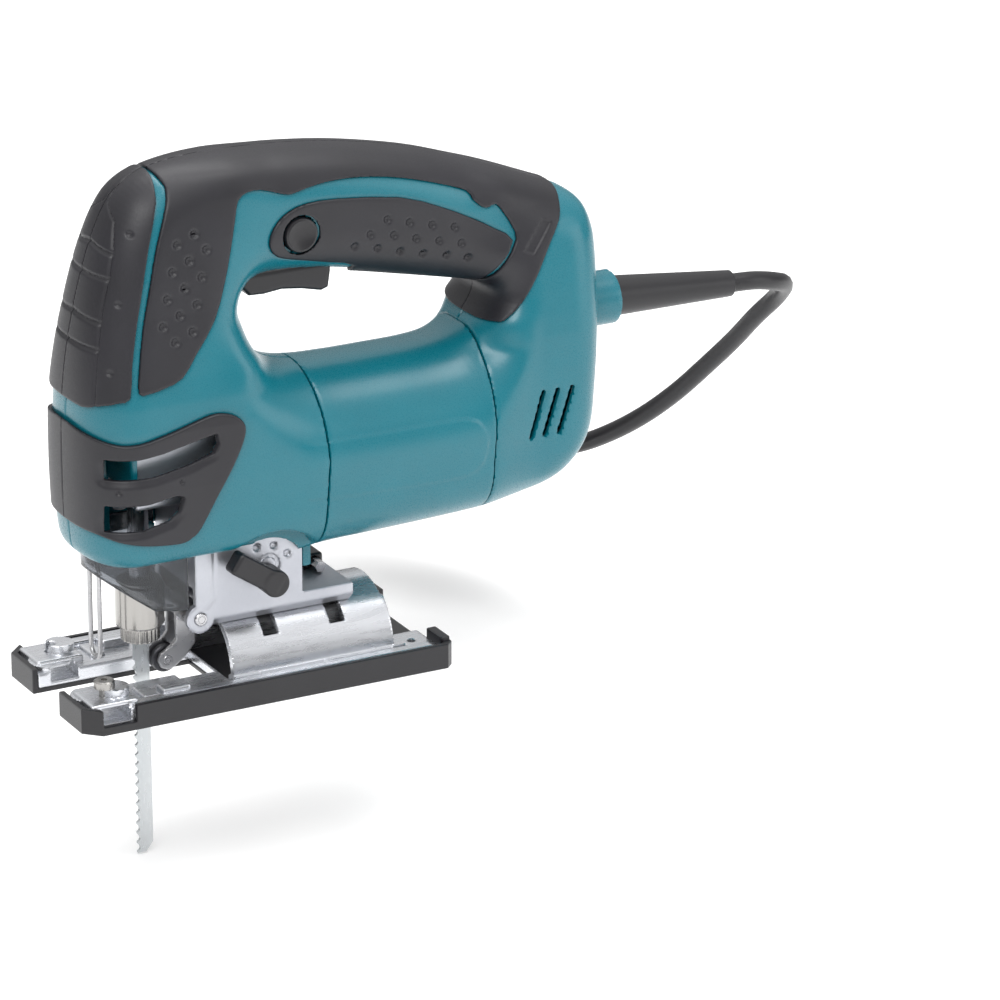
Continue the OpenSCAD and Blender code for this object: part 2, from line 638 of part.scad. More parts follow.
// The crank pin stops just behind the yoke: the real one reaches into the yoke's slot
module crank_pin() {
    color("silver") along_x(yoke_x1 + 0.5, gear_x0 + gear_t, crank_pin_r, z = gear_z - crank_r);
}
module counterweight() {
    color("gray") difference() {
        along_x(gear_x0 - 3, gear_x0, gear_pitch_r - 2, z = gear_z);
        block([gear_x0 - 4, -30, gear_z - 40], [gear_x0 + 1, 30, gear_z - 5]);
    }
}

// ---- plunger, clamp and blade ----
module plunger_rod() {
    color("silver") upright(blade_top + 1, case_z1 + tower_h + 3, rod_d / 2, rod_x);
}
module yoke() {
    slot_hw = crank_r + crank_pin_r + 0.5;
    color("gray") difference() {
        union() {
            block([rod_x - rod_d / 2 - 1.5, -6, yoke_z - yoke_hh], [yoke_x1 - 5, 6, yoke_z + yoke_hh]);
            block([yoke_x1 - 5, -slot_hw - 2, yoke_z - yoke_hh], [yoke_x1, slot_hw + 2, yoke_z + yoke_hh]);
        }
        upright(yoke_z - 10, yoke_z + 10, rod_d / 2, rod_x);
        block([yoke_x1 - 4, -slot_hw, yoke_z - crank_pin_r - 0.1], [yoke_x1 + 1, slot_hw, yoke_z + crank_pin_r + 0.1]);
    }
}
module blade_clamp() {
    collar_r = 7.5;
    color("silver") difference() {
        union() {
            upright(sleeve_z0 - 6, sleeve_z1 + 0.2, clamp_r, rod_x);
            upright(sleeve_z0 - 6, sleeve_z0 - 0.2, collar_r, rod_x);
            upright(sleeve_z1 + 0.2, sleeve_z1 + 1.7, sleeve_r - 1, rod_x);
        }
        upright(blade_top + 1, sleeve_z1 + 3, rod_d / 2, rod_x);
        block([rod_x - blade_w / 2, -blade_t / 2, sleeve_z0 - 7], [rod_x + blade_w / 2, blade_t / 2, blade_top + 0.5]);
        for (a = [0:15:345]) translate([rod_x, 0, sleeve_z0 - 7]) rotate([0, 0, a])
            translate([collar_r, 0, 0]) rotate([0, 0, 45]) cube([0.7, 0.7, 20], center = true);
    }
}
module blade() {
    pitch = 4;
    bite = 1.1;
    teeth_top = 12;
    front = rod_x - blade_w / 2;
    back = rod_x + blade_w / 2;
    color("silver") side_prism(-blade_t / 2, blade_t / 2) difference() {
        polygon([[front, blade_top], [back, blade_top], [back, 4 - blade_reach], [back - 3, -blade_reach],
            [front, -blade_reach]]);
        for (z = [-blade_reach:pitch:teeth_top])
            polygon([[front - 1, z + 0.6], [front, z + 0.6], [front + bite, z + 1.8], [front, z + pitch - 0.2], [front - 1, z + pitch - 0.2]]);
    }
}
module clamp_sleeve() {
    color("silver") difference() {
        upright(sleeve_z0, sleeve_z1, sleeve_r, rod_x);
        upright(sleeve_z0 - 1, sleeve_z1 + 1, clamp_r + running, rod_x);
        translate([rod_x, 0, sleeve_z0 - 1]) rotate([0, 0, -42]) block([sleeve_r - 0.7, -12, 0], [sleeve_r + 2, 12, 14]);
    }
}

// ---- back roller ----
module roller_fork() {
    color("lightgray") difference() {
        union() {
            along_y(-leg_hw + 3 + gap, leg_hw - 3 - gap, fork_hub_r, fork_x, fork_z);
            for (s = [-1, 1]) let (y0 = s > 0 ? cheek_y : -cheek_y - cheek_t) {
                side_prism(y0, y0 + cheek_t) polygon([[fork_x - 4.4, fork_z - 1], [fork_x + 4.3, fork_z - 1],
                    [fork_x + 3.5, roller_z + 5], [roller_x + 3, roller_z - 3.4], [roller_x - 2, roller_z - 3.4],
                    [roller_x - 3.6, roller_z + 2], [fork_x - 4.4, roller_z + 8]]);
            }
            block([fork_x - 1, -cheek_y - 0.5, roller_z + 8], [fork_x + 3.6, cheek_y + 0.5, fork_z - 3]);
        }
        along_y(-leg_hw, leg_hw, fork_pin_r + running, fork_x, fork_z);
        along_y(-10, 10, roller_pin_r, roller_x, roller_z);
    }
}
module fork_pin() { color("silver") along_y(-leg_hw - 0.4, leg_hw + 0.4, fork_pin_r, fork_x, fork_z); }
module roller_pin() {
    reach = cheek_y + cheek_t;
    color("silver") along_y(-reach, reach, roller_pin_r, roller_x, roller_z);
}
module roller() {
    color("gray") translate([roller_x, 0, roller_z]) rotate([90, 0, 0]) rotate_extrude()
        polygon([[roller_pin_r + running, -roller_hw], [roller_r, -roller_hw], [roller_r, -1], [roller_r - 0.8, -0.8],
            [roller_r - 0.8, 0.8], [roller_r, 1], [roller_r, roller_hw], [roller_pin_r + running, roller_hw]]);
}

// ---- orbit lever ----
module orbit_lever() {
    hub_r = 5.3;
    hub_y = -leg_hw - gap;
    color("black") {
        along_y(hub_y - 11, hub_y, hub_r, lever_x, lever_z);
        translate([lever_x, 0, lever_z]) rotate([0, -lever_rest, 0])
            block([0, hub_y - 11, -4.4], [lever_reach, hub_y - 3.5, 4.4]);
    }
}
module orbit_cam() {
    color("silver") {
        along_y(-leg_hw - gap, 10, lever_shaft_r, lever_x, lever_z);
        along_y(-6, 6, lever_shaft_r + 1, lever_x + 0.6, lever_z);
    }
}

// ---- front guards ----
module wire_guard() {
    wire_r = 0.9;
    wire_x = rod_x - 18.5;
    half = 4.25;
    low_z = 16 + half;
    top_z = motor_z - 5.5;
    color("silver") {
        for (s = [-1, 1]) {
            upright(low_z, top_z, wire_r, wire_x, s * half);
            translate([wire_x, s * half, top_z]) sphere(wire_r);
            along_x(wire_x, case_x0, wire_r, y = s * half, z = top_z);
        }
        translate([wire_x, 0, low_z]) rotate([90, 180, 90]) rotate_extrude(angle = 180) translate([half, 0]) circle(wire_r);
    }
}
module chip_cover() {
    color("slategray") difference() {
        translate([0, 0, 30]) linear_extrude(chip_z1 - 30) difference() {
            chip_outline(0);
            chip_outline(chip_t);
            translate([chip_rear - 1, -chip_hw + chip_t]) square([3, 2 * (chip_hw - chip_t)]);
        }
        side_prism(-30, 30) polygon([[nose_x - 5, 58], [chip_front - chip_hw, 52.5], [rod_x - 1, 36.5],
            [chip_rear + 5, 34], [chip_rear + 5, 20], [nose_x - 5, 20]]);
    }
}
module work_lamp() {
    lamp_z = shelf_z0 - 6;
    color("white") upright(lamp_z, shelf_z0, 2.5, case_x0 + 3, 0);
}

// ---- controls ----
module switch_body() {
    color("black") block([trigger_x0 + 2, -9, switch_z0], [trigger_x1 + 4, 9, switch_z0 + 14]);
}
module trigger() {
    top = switch_z0 - 5.5;
    color("black") {
        side_prism(-trigger_hw, trigger_hw) polygon([[trigger_x0, top - 3], [trigger_x0, motor_z + 66],
            [trigger_x0 + 3.5, motor_z + 62], [trigger_x0 + 17, motor_z + 62.5], [trigger_x1 - 4, motor_z + 59.5],
            [trigger_x1 - 1, motor_z + 60.5], [trigger_x1, motor_z + 67], [trigger_x1, top - 3]]);
        block([trigger_x0 + 1, -trigger_hw, top - 3.5], [trigger_x1 - 3, trigger_hw, top]);
    }
}
module lock_button() {
    color("black") along_y(-grip_hw - 1.5, -grip_hw + 5.7, lock_r, lock_x, lock_z);
}
module speed_dial() {
    color("black") translate([dial_pos[0], dial_pos[1], dial_pos[2] - dial_t / 2]) difference() {
        cylinder(r = dial_r, h = dial_t);
        for (a = [0:15:345]) rotate([0, 0, a]) translate([dial_r, 0, dial_t / 2]) cube([1.2, 0.9, dial_t + 2], center = true);
        translate([0, 0, -1]) cylinder(r = 2, h = dial_t + 2);
    }
}
module control_board() {
    z0 = dial_pos[2] - dial_t / 2 - 4;
    color("green") block([seam2_x + 15, -8, z0], [rear_x - 17, 17, z0 + 1.6]);
    color("silver") upright(z0 + 1.6, dial_pos[2] + dial_t / 2, 1.9, dial_pos[0], dial_pos[1]);
}

// ---- fasteners and stored key ----
module housing_screws() {
    color("gray") for (p = posts) {
        along_y(-post_hw + 1, post_hw - 2, screw_r, p[0], p[1]);
        along_y(post_hw - 2, post_hw + 1, 3.4, p[0], p[1]);
    }
}
module clamp_plate() {
    r_out = tunnel_r - tunnel_t - gap;
    color("gray") difference() {
        tube_x(bolt_x[0] - 9, bolt_x[1] + 9, r_out, r_out - clamp_t, tilt_z);
        block([bolt_x[0] - 20, -40, tilt_z - 40], [bolt_x[1] + 20, 40, tilt_z + 16.5]);
        for (x = bolt_x) upright(0, 40, bolt_r, x);
    }
}
module clamp_bolts() {
    head_top = tilt_z + 16.5;
    color("gray") for (x = bolt_x) {
        upright(head_top - 4, foot_z1 - 1, bolt_r, x);
        difference() {
            upright(head_top - 5, tilt_z + tunnel_r - tunnel_t - clamp_t - 1, 4.2, x);
            upright(head_top - 6, head_top - 2, 2.3, x, $fn = 6);
        }
    }
}
module hex_key() {
    key_r = 2.3;
    key_x = leg_x1 + 14.5;
    key_y = 22.4;
    key_z = foot_z1 + key_r + 0.4;
    color("gray") {
        along_y(-4, key_y, key_r, key_x, key_z, $fn = 6);
        along_x(leg_x1 + 5.5, key_x, key_r, y = key_y - key_r, z = key_z, $fn = 6);
    }
    color("black") difference() {
        block([key_x - 4, 2, foot_z1], [key_x + 4, 14, key_z + 3.4]);
        along_y(-4, key_y, key_r, key_x, key_z, $fn = 6);
    }
}

// ---- sole plate ----
module base_outline(inset, corner) {
    x = base_l / 2 - inset;
    y = base_w / 2 - inset;
    polygon([[-x, -y + corner], [-x + corner, -y], [x - corner / 2, -y], [x, -y + corner / 2],
        [x, y - corner / 2], [x - corner / 2, y], [-x + corner, y], [-x, y - corner]]);
}
module slot_cut(z0, z1) { block([-base_l, -slot_w / 2, z0], [tunnel_x0 - 2, slot_w / 2, z1]); }
module base_plate() {
    edge = base_w / 2 - cover_wall - seam_gap;
    rear_x1 = base_l / 2 - 4;
    boss_at = [-base_l / 2 + 17, base_w / 2 - 13.5];
    channel_in = tunnel_r - tunnel_t;
    half_chord = tunnel_r * sin(tilt_max + 8);
    color("lightgray") difference() {
        union() {
            intersection() {
                translate([0, 0, cover_t]) linear_extrude(rail_z - cover_t) base_outline(cover_wall + seam_gap, 5);
                block([-base_l, -edge, 0], [rear_x1, edge, 30]);
            }
            for (s = [-1, 1]) {
                // raised outer edge, stiffening ribs, pads and the fence bosses
                block([-base_l / 2 + 20, s > 0 ? edge - 5 : -edge, rail_z - 1], [rear_x1 - 4, s > 0 ? edge : -edge + 5, base_h]);
                block([-base_l / 2 + 52, s * 27 - 0.7, rail_z - 1], [tunnel_x0 + 10, s * 27 + 0.7, rail_z + 0.8]);
                block([tunnel_x0 + 37, s * 27 - 0.7, rail_z - 1], [tunnel_x1 + 1, s * 27 + 0.7, rail_z + 0.8]);
                block([rod_x - 5, s * 27.5 - 3.5, rail_z - 1], [rod_x + 6.5, s * 27.5 + 3.5, base_h + 1.2]);
                upright(rail_z - 1, base_h + 4.2, 5.5, boss_at[0], s * boss_at[1]);
                block([-base_l / 2 + 3.8, s * boss_at[1] - 9, rail_z - 1], [-base_l / 2 + 23, s * boss_at[1] + 9, base_h + 1]);
            }
            intersection() {
                along_x(tunnel_x0, tunnel_x1, tunnel_r, z = tilt_z);
                block([tunnel_x0, -30, cover_t], [tunnel_x1, 30, 60]);
            }
        }
        along_x(tunnel_x0 - 1, tunnel_x1 + 1, channel_in, z = tilt_z);
        block([tunnel_x0 + 0, -channel_in, 0], [tunnel_x1, channel_in, tilt_z]);
        for (x = bolt_x) block([x - bolt_r - 0.7, -half_chord, tilt_z], [x + bolt_r + 0.7, half_chord, 40]);
        slot_cut(0, 30);
        block([tunnel_x1 - 1, -14, 0], [base_l, 14, 30]);
        // relief under the fork's lugs, fence channel, tapped and plain holes
        for (s = [-1, 1]) {
            block([fork_x - 8.6, s > 0 ? 0 : -32, tilt_z - 0.2], [tunnel_x0 - 1, s > 0 ? 32 : 0, 30]);
            block([-base_l / 2 + 7.5, s > 0 ? 10 : -base_w, 3.6], [-base_l / 2 + 19, s > 0 ? base_w : -10, 9]);
            upright(8, 30, 2.1, boss_at[0] - 4, s * boss_at[1]);
            upright(0, 30, 1.6, rear_x1 - 7, s * 23);
            block([tunnel_x1 - 2, s * 27 - 2, rail_z - 3], [tunnel_x1 + 4, s * 27 + 2, 30]);
        }
    }
}
module base_cover() {
    wall_x0 = -base_l / 2 + 20;
    color("black") difference() {
        union() {
            linear_extrude(cover_t) base_outline(0, 6);
            difference() {
                linear_extrude(base_h + 0.2) base_outline(0, 6);
                translate([0, 0, cover_t]) linear_extrude(30) base_outline(cover_wall, 5);
                block([-base_l / 2 + 6.5, -base_w, cover_t + 1.4], [wall_x0, base_w, 30]);
                block([base_l / 2 - 5, -22, cover_t], [base_l, 22, 30]);
            }
            for (s = [-1, 1]) block([base_l / 2 - 4, s * 28 - 6, 0], [base_l / 2, s * 28 + 6, base_h + 1.5]);
        }
        slot_cut(-1, 30);
        for (x = bolt_x) upright(-1, 10, 4.6, x);
    }
}
module base_screws() {
    boss_at = [-base_l / 2 + 13, base_w / 2 - 13.5];
    color("silver") {
        upright(9.4, base_h + 6.5, 2.1, boss_at[0], -boss_at[1]);
        difference() {
            upright(base_h + 4.2, base_h + 7.2, 4, boss_at[0], -boss_at[1]);
            block([boss_at[0] - 5, -boss_at[1] - 0.5, base_h + 6.2], [boss_at[0] + 5, -boss_at[1] + 0.5, base_h + 8]);
        }
    }
}

// ---- mains lead ----
module cord_clamp() {
    clamp_x = rear_x - 24;
    color("black") difference() {
        block([clamp_x, -11, boss_z - 9], [clamp_x + 8, 11, boss_z + 8]);
        along_x(clamp_x - 1, clamp_x + 9, cord_d / 2, z = boss_z);
    }
}
module cord_guard() {
    color("black") {
        along_x(rear_x - 12, rear_x + boss_l, guard_r, z = boss_z);
        hull() {
            along_x(rear_x + boss_l, rear_x + boss_l + 0.5, guard_r, z = boss_z);
            translate(guard_tip) rotate([0, guard_dip - 90, 0]) cylinder(r = guard_tip_r, h = 0.5);
        }
    }
}
function unit(v) = v / norm(v);
// A smooth run through hand-set points: three short steps along each Catmull-Rom span
function spline_point(p, i, t) = let (n = len(p), a = p[max(i - 1, 0)], b = p[i], c = p[i + 1], d = p[min(i + 2, n - 1)])
    0.5 * (2 * b + (c - a) * t + (2 * a - 5 * b + 4 * c - d) * t * t + (3 * b - a - 3 * c + d) * t * t * t);
function run_of(p, steps) = [for (i = [0:len(p) - 2], k = [0:steps - 1]) spline_point(p, i, k / steps), p[len(p) - 1]];
function ring(c, dir, r, n) = let (side = unit(cross(dir, [0.1, 0.2, 1])), up = cross(side, dir))
    [for (k = [0:n - 1]) c + r * (side * cos(360 * k / n) + up * sin(360 * k / n))];
module swept_tube(p, r, n) {
    m = len(p);
    dirs = [for (i = [0:m - 1]) unit(p[min(i + 1, m - 1)] - p[max(i - 1, 0)])];
    points = [for (i = [0:m - 1]) each ring(p[i], dirs[i], r, n)];
    walls = [for (i = [0:m - 2], k = [0:n - 1]) let (a = i * n + k, b = i * n + (k + 1) % n) each
        [[a, b, b + n], [a, b + n, a + n]]];
    polyhedron(points, concat([[for (k = [n - 1:-1:0]) k]], walls, [[for (k = [0:n - 1]) (m - 1) * n + k]]));
}
module cord() {
    color("black") {
        swept_tube(run_of(concat([guard_tip], lead_points), 2), cord_d / 2, 10);
        swept_tube(run_of(plug_points, 2), cord_d / 2, 10);
    }
}
module cord_coil() {
    color("black") translate([coil_centre[0], coil_centre[1], 0]) rotate_extrude()
        polygon([[coil_mean - coil_hw, 3], [coil_mean - coil_hw + 3, 0], [coil_mean + coil_hw - 3, 0],
            [coil_mean + coil_hw, 3], [coil_mean + coil_hw, coil_h - 3], [coil_mean + coil_hw - 3, coil_h],
            [coil_mean - coil_hw + 3, coil_h], [coil_mean - coil_hw, coil_h - 3]]);
}
module plug() {
    pin_r = 2.4;
    pin_l = 19;
    pin_half = 9.5;
    body_l = 34;
    face_r = 13;
    translate(plug_at) {
        color("black") {
            translate([-14, 0, 0]) rotate([0, 90, 0]) cylinder(r1 = 10, r2 = 5.5, h = 14);
            translate([-14 - body_l, 0, 0]) rotate([90, 0, 90]) linear_extrude(body_l)
                hull() for (s = [-1, 1]) translate([s * 6, 0]) circle(face_r);
        }
        color("silver") for (s = [-1, 1]) translate([-14 - body_l - pin_l, s * pin_half, 0])
            rotate([0, 90, 0]) cylinder(r = pin_r, h = pin_l + 2);
    }
}

housing_left();
housing_right();
motor_housing();
grip_left();
grip_right();
handle_pad_left();
handle_pad_right();
bumper_left();
bumper_right();
vent_cover_left();
vent_cover_right();
gear_housing();
rod_bushings();
gear_bearing();
front_bearing();
rear_bearing();
stator_core();
field_coils();
brush_holders();
carbon_brushes();
switch_body();
control_board();
work_lamp();
wire_guard();
housing_screws();
gear_housing_screws();
clamp_plate();
clamp_bolts();
hex_key();
cord_clamp();
cord_guard();
cord();
cord_coil();
plug();
fork_pin();
armature_shaft();
armature_core();
commutator();
fan();
drive_gear();
crank_pin();
counterweight();
plunger_rod();
yoke();
blade_clamp();
blade();
clamp_sleeve();
roller_fork();
roller_pin();
roller();
orbit_lever();
orbit_cam();
trigger();
lock_button();
speed_dial();
chip_cover();
base_plate();
base_cover();
base_screws();
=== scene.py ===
# %% [markdown]
# # A jigsaw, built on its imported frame
#
# Every length below is in millimetres until a mesh is made, where it becomes metres.
# The camera and the mains lead come first, then the small set of tools that build surfaces
# with numpy, then the pieces from the shells down to the blade, the materials and the light.

# %% Frame
import json
import math

import bmesh
import bpy
import numpy as np
from mathutils import Matrix, Vector

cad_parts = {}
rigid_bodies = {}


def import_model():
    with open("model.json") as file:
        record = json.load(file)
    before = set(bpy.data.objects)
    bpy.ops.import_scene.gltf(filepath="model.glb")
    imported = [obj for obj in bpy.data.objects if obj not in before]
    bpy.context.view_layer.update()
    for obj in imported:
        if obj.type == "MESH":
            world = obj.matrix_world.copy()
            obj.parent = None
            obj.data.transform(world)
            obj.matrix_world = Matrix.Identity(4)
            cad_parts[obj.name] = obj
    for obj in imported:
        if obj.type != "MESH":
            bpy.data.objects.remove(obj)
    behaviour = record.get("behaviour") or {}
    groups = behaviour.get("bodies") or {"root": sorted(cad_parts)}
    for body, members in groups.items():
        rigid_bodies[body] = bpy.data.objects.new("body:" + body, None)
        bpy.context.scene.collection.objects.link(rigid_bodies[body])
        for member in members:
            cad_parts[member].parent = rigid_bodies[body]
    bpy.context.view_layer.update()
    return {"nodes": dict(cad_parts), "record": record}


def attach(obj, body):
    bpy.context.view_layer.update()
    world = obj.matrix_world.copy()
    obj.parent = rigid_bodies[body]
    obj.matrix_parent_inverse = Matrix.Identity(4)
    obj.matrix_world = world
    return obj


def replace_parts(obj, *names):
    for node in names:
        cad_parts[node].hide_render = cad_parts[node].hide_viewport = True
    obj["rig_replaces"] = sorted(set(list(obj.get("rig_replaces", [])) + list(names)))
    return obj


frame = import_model()
nodes = frame["nodes"]
scene = bpy.context.scene
MM = 0.001

# %% [markdown]
# ## Places that several pieces share
#
# A shaft, its bearing and its housing have to agree, so each axis is named once and every
# piece that sits on it reads the same value.

# %% Axes
MOTOR_Z = 89.5
ROD_X = -37.5
LEVER_X, LEVER_Z = 6.5, 43.5
FORK_X, FORK_Z = -20.4, 30.5
ROLLER_X, ROLLER_Z = -28.55, 11.0
LOCK_X, LOCK_Z = 23.0, 176.5
DIAL_X, DIAL_Y, DIAL_Z = 122.0, 15.0, 143.0
RELIEF_X, RELIEF_Z = 151.0, 124.8
RELIEF_STRAIGHT, RELIEF_TAPER = 14, 54
RELIEF_DIP = math.radians(3.4)
WALL = 3
BENCH_Z = -69
print(f"motor axis {MOTOR_Z} mm and lead exit {RELIEF_Z} mm above the sole")

# %% [markdown]
# ## Camera
#
# A long lens from the front left, about twenty degrees above the sole. `turn` and `lift`
# give the direction, and the matrix is built from the three axes that follow from them,
# which is plainer than a tracking constraint and can't flip.

# %% Camera
camera_data = bpy.data.cameras.new("camera")
camera_data.sensor_width = 36.0
camera_data.lens = 216.0
camera_data.clip_end = 50.0
camera = bpy.data.objects.new("camera", camera_data)
scene.collection.objects.link(camera)
turn, lift = 0.48901, 0.35629
back = Vector((-math.sin(turn) * math.cos(lift), -math.cos(turn) * math.cos(lift), math.sin(lift)))
right = Vector((math.cos(turn), -math.sin(turn), 0.0))
placed = Matrix((right, back.cross(right), back)).transposed().to_4x4()
placed.translation = Vector((-0.9094, -1.9286, 0.8618))
camera.matrix_world = placed
scene.camera = camera
print(f"lens {camera_data.lens:.0f} mm, {math.degrees(lift):.1f} degrees above the sole")


# %% [markdown]
# ## Materials
#
# Two node groups are shared. `moulded` gives a plastic or cast face its mottled colour, its
# uneven gloss and its fine grain. `drawn` stretches its noise along one axis, which is how
# rolled, ground or brushed metal looks.

# %% Colour
def linear(r, g, b):
    """A colour given as 0-255 display values, in scene-linear light.

    c = ((s + 0.055) / 1.055) ** 2.4 for s over 0.04045, and s / 12.92 below it.
    """
    s = np.array([r, g, b], float) / 255
    c = np.where(s > 0.04045, ((s + 0.055) / 1.055) ** 2.4, s / 12.92)
    return (*c, 1.0)


# %% The shared finish
def new_group(name, inputs):
    """A shader group with the given inputs and the outputs Colour, Roughness and Normal."""
    group = bpy.data.node_groups.new(name, "ShaderNodeTree")
    for label, kind, value in inputs:
        socket = group.interface.new_socket(name=label, in_out="INPUT", socket_type=kind)
        socket.default_value = value
    for label, kind in (("Colour", "NodeSocketColor"), ("Roughness", "NodeSocketFloat"),
                        ("Normal", "NodeSocketVector")):
        group.interface.new_socket(name=label, in_out="OUTPUT", socket_type=kind)
    return group


def finish_group(name, stretch):
    """Colour, gloss and grain from two noises on the object's own coordinates.

    The broad one mixes the two colours by its Factor times Variation. The fine one adds
    -0.05 to 0.07 to the roughness, and is the height of the bump.
    """
    group = new_group(name, [
        ("Colour", "NodeSocketColor", (0.5, 0.5, 0.5, 1.0)),
        ("Worn colour", "NodeSocketColor", (0.6, 0.6, 0.6, 1.0)),
        ("Variation", "NodeSocketFloat", 0.2), ("Roughness", "NodeSocketFloat", 0.4),
        ("Grain size", "NodeSocketFloat", 1500.0), ("Grain depth", "NodeSocketFloat", 0.1)])
    tree, link = group.nodes, group.links.new
    into, out = tree.new("NodeGroupInput"), tree.new("NodeGroupOutput")
    place = tree.new("ShaderNodeTexCoord")
    shape = tree.new("ShaderNodeMapping")
    shape.inputs["Scale"].default_value = stretch
    link(place.outputs["Object"], shape.inputs["Vector"])
    broad = tree.new("ShaderNodeTexNoise")
    broad.inputs["Scale"].default_value = 38.0
    broad.inputs["Detail"].default_value = 5.0
    link(shape.outputs["Vector"], broad.inputs["Vector"])
    fine = tree.new("ShaderNodeTexNoise")
    fine.inputs["Detail"].default_value = 3.0
    link(shape.outputs["Vector"], fine.inputs["Vector"])
    link(into.outputs["Grain size"], fine.inputs["Scale"])
    spread = tree.new("ShaderNodeMapRange")
    spread.inputs["From Min"].default_value = 0.35
    spread.inputs["From Max"].default_value = 0.65
    link(broad.outputs["Fac"], spread.inputs["Value"])
    amount = tree.new("ShaderNodeMath")
    amount.operation = "MULTIPLY"
    link(spread.outputs["Result"], amount.inputs[0])
    link(into.outputs["Variation"], amount.inputs[1])
    mix = tree.new("ShaderNodeMix")
    mix.data_type = "RGBA"
    link(amount.outputs["Value"], mix.inputs["Factor"])
    link(into.outputs["Colour"], mix.inputs[6])
    link(into.outputs["Worn colour"], mix.inputs[7])
    gloss = tree.new("ShaderNodeMapRange")
    gloss.inputs["From Min"].default_value = 0.3
    gloss.inputs["From Max"].default_value = 0.7
    gloss.inputs["To Min"].default_value = -0.05
    gloss.inputs["To Max"].default_value = 0.07
    link(fine.outputs["Fac"], gloss.inputs["Value"])
    rough = tree.new("ShaderNodeMath")
    rough.operation = "ADD"
    link(into.outputs["Roughness"], rough.inputs[0])
    link(gloss.outputs["Result"], rough.inputs[1])
    bump = tree.new("ShaderNodeBump")
    bump.inputs["Distance"].default_value = 0.00012
    link(into.outputs["Grain depth"], bump.inputs["Strength"])
    link(fine.outputs["Fac"], bump.inputs["Height"])
    link(mix.outputs[2], out.inputs["Colour"])
    link(rough.outputs["Value"], out.inputs["Roughness"])
    link(bump.outputs["Normal"], out.inputs["Normal"])
    return group


moulded = finish_group("moulded", (1.0, 1.0, 1.0))
drawn = finish_group("drawn", (0.12, 1.0, 1.0))
upright_drawn = finish_group("upright drawn", (1.0, 1.0, 0.1))
print("shared finishes:", moulded.name, drawn.name, upright_drawn.name)


# %% [markdown]
# ## A look for each material
#
# Moulded plastic and soft rubber differ in colour, gloss and grain alone, and so do cast,
# ground and rolled metal. One function therefore sets a Principled shader from a finish
# group and six values, and anything else goes straight onto the shader's own sockets.

# %% Looks
def material(name, group, colour, worn, variation, roughness, grain=1500.0, depth=0.1,
             metallic=0.0, **more):
    """A Principled material whose colour, roughness and normal come from a shared finish group."""
    made = bpy.data.materials.new(name)
    made.use_nodes = True
    tree, link = made.node_tree.nodes, made.node_tree.links.new
    shader = tree["Principled BSDF"]
    finish = tree.new("ShaderNodeGroup")
    finish.node_tree = group
    for label, value in (("Colour", linear(*colour)), ("Worn colour", linear(*worn)),
                         ("Variation", variation),
                         ("Roughness", roughness), ("Grain size", grain), ("Grain depth", depth)):
        finish.inputs[label].default_value = value
    link(finish.outputs["Colour"], shader.inputs["Base Color"])
    link(finish.outputs["Roughness"], shader.inputs["Roughness"])
    link(finish.outputs["Normal"], shader.inputs["Normal"])
    shader.inputs["Metallic"].default_value = metallic
    for label, value in more.items():
        shader.inputs[label.replace("_", " ")].default_value = value
    return made


LOOKS = {
    "teal_plastic": material("teal plastic", moulded, (3, 100, 114), (8, 108, 122), 0.35, 0.28, 2600,
                             0.05,
                             Coat_Weight=0.1, Coat_Roughness=0.3),
    "grip_rubber": material("grip rubber", moulded, (20, 19, 25), (28, 27, 34), 0.6, 0.44, 2200, 0.16),
    "cast_aluminium": material("cast aluminium", moulded, (172, 174, 181), (190, 192, 198), 0.7, 0.38,
                               1100, 0.22,
                               metallic=0.8),
    "sintered_bronze": material("sintered bronze", moulded, (150, 112, 68), (172, 134, 86), 0.7, 0.5,
                                1600, 0.2,
                                metallic=0.85),
    "bearing_steel": material("bearing steel", upright_drawn, (178, 178, 180), (205, 205, 208), 0.6,
                              0.22, 900, 0.06,
                              metallic=0.95),
    "pressed_steel": material("pressed steel", drawn, (168, 168, 170), (196, 196, 198), 0.6, 0.3, 900,
                              0.1,
                              metallic=0.9),
    "dark_fasteners": material("dark fasteners", moulded, (70, 70, 74), (98, 98, 102), 0.7, 0.38, 1200,
                               0.15,
                               metallic=0.8),
    "electrical_steel": material("electrical steel", drawn, (96, 98, 104), (128, 130, 136), 0.7, 0.42,
                                 1900, 0.3,
                                 metallic=0.7),
    "copper": material("varnished copper", drawn, (150, 74, 38), (186, 102, 58), 0.8, 0.34, 1500, 0.35,
                       metallic=0.8),
    "insulator": material("insulator", moulded, (92, 120, 72), (128, 142, 92), 0.5, 0.5, 1500, 0.1),
    "carbon": material("carbon", moulded, (38, 38, 40), (56, 56, 60), 0.6, 0.62, 1800, 0.2),
    "black_plastic": material("black plastic", moulded, (17, 16, 20), (24, 23, 28), 0.5, 0.38, 2000,
                              0.12),
    "lamp_lens": material("lamp lens", moulded, (226, 230, 236), (244, 246, 250), 0.4, 0.15, 900, 0.05,
                          Transmission_Weight=0.6),
    "nickel": material("nickel plate", upright_drawn, (158, 156, 153), (186, 184, 180), 0.5, 0.2, 700,
                       0.05,
                       metallic=1.0),
    "blade_steel": material("blade steel", upright_drawn, (186, 190, 192), (214, 216, 218), 0.6, 0.3,
                            1300, 0.12,
                            metallic=0.85),
    "smoke_clear": material("smoke clear", moulded, (120, 124, 130), (134, 138, 144), 0.3, 0.1, 900,
                            0.02,
                            Transmission_Weight=0.9, IOR=1.4),
}
POLISHED = material("polished sole", drawn, (200, 202, 207), (230, 231, 234), 0.5, 0.27, 600, 0.08,
                    metallic=0.92)
print(f"{len(LOOKS) + 1} looks")

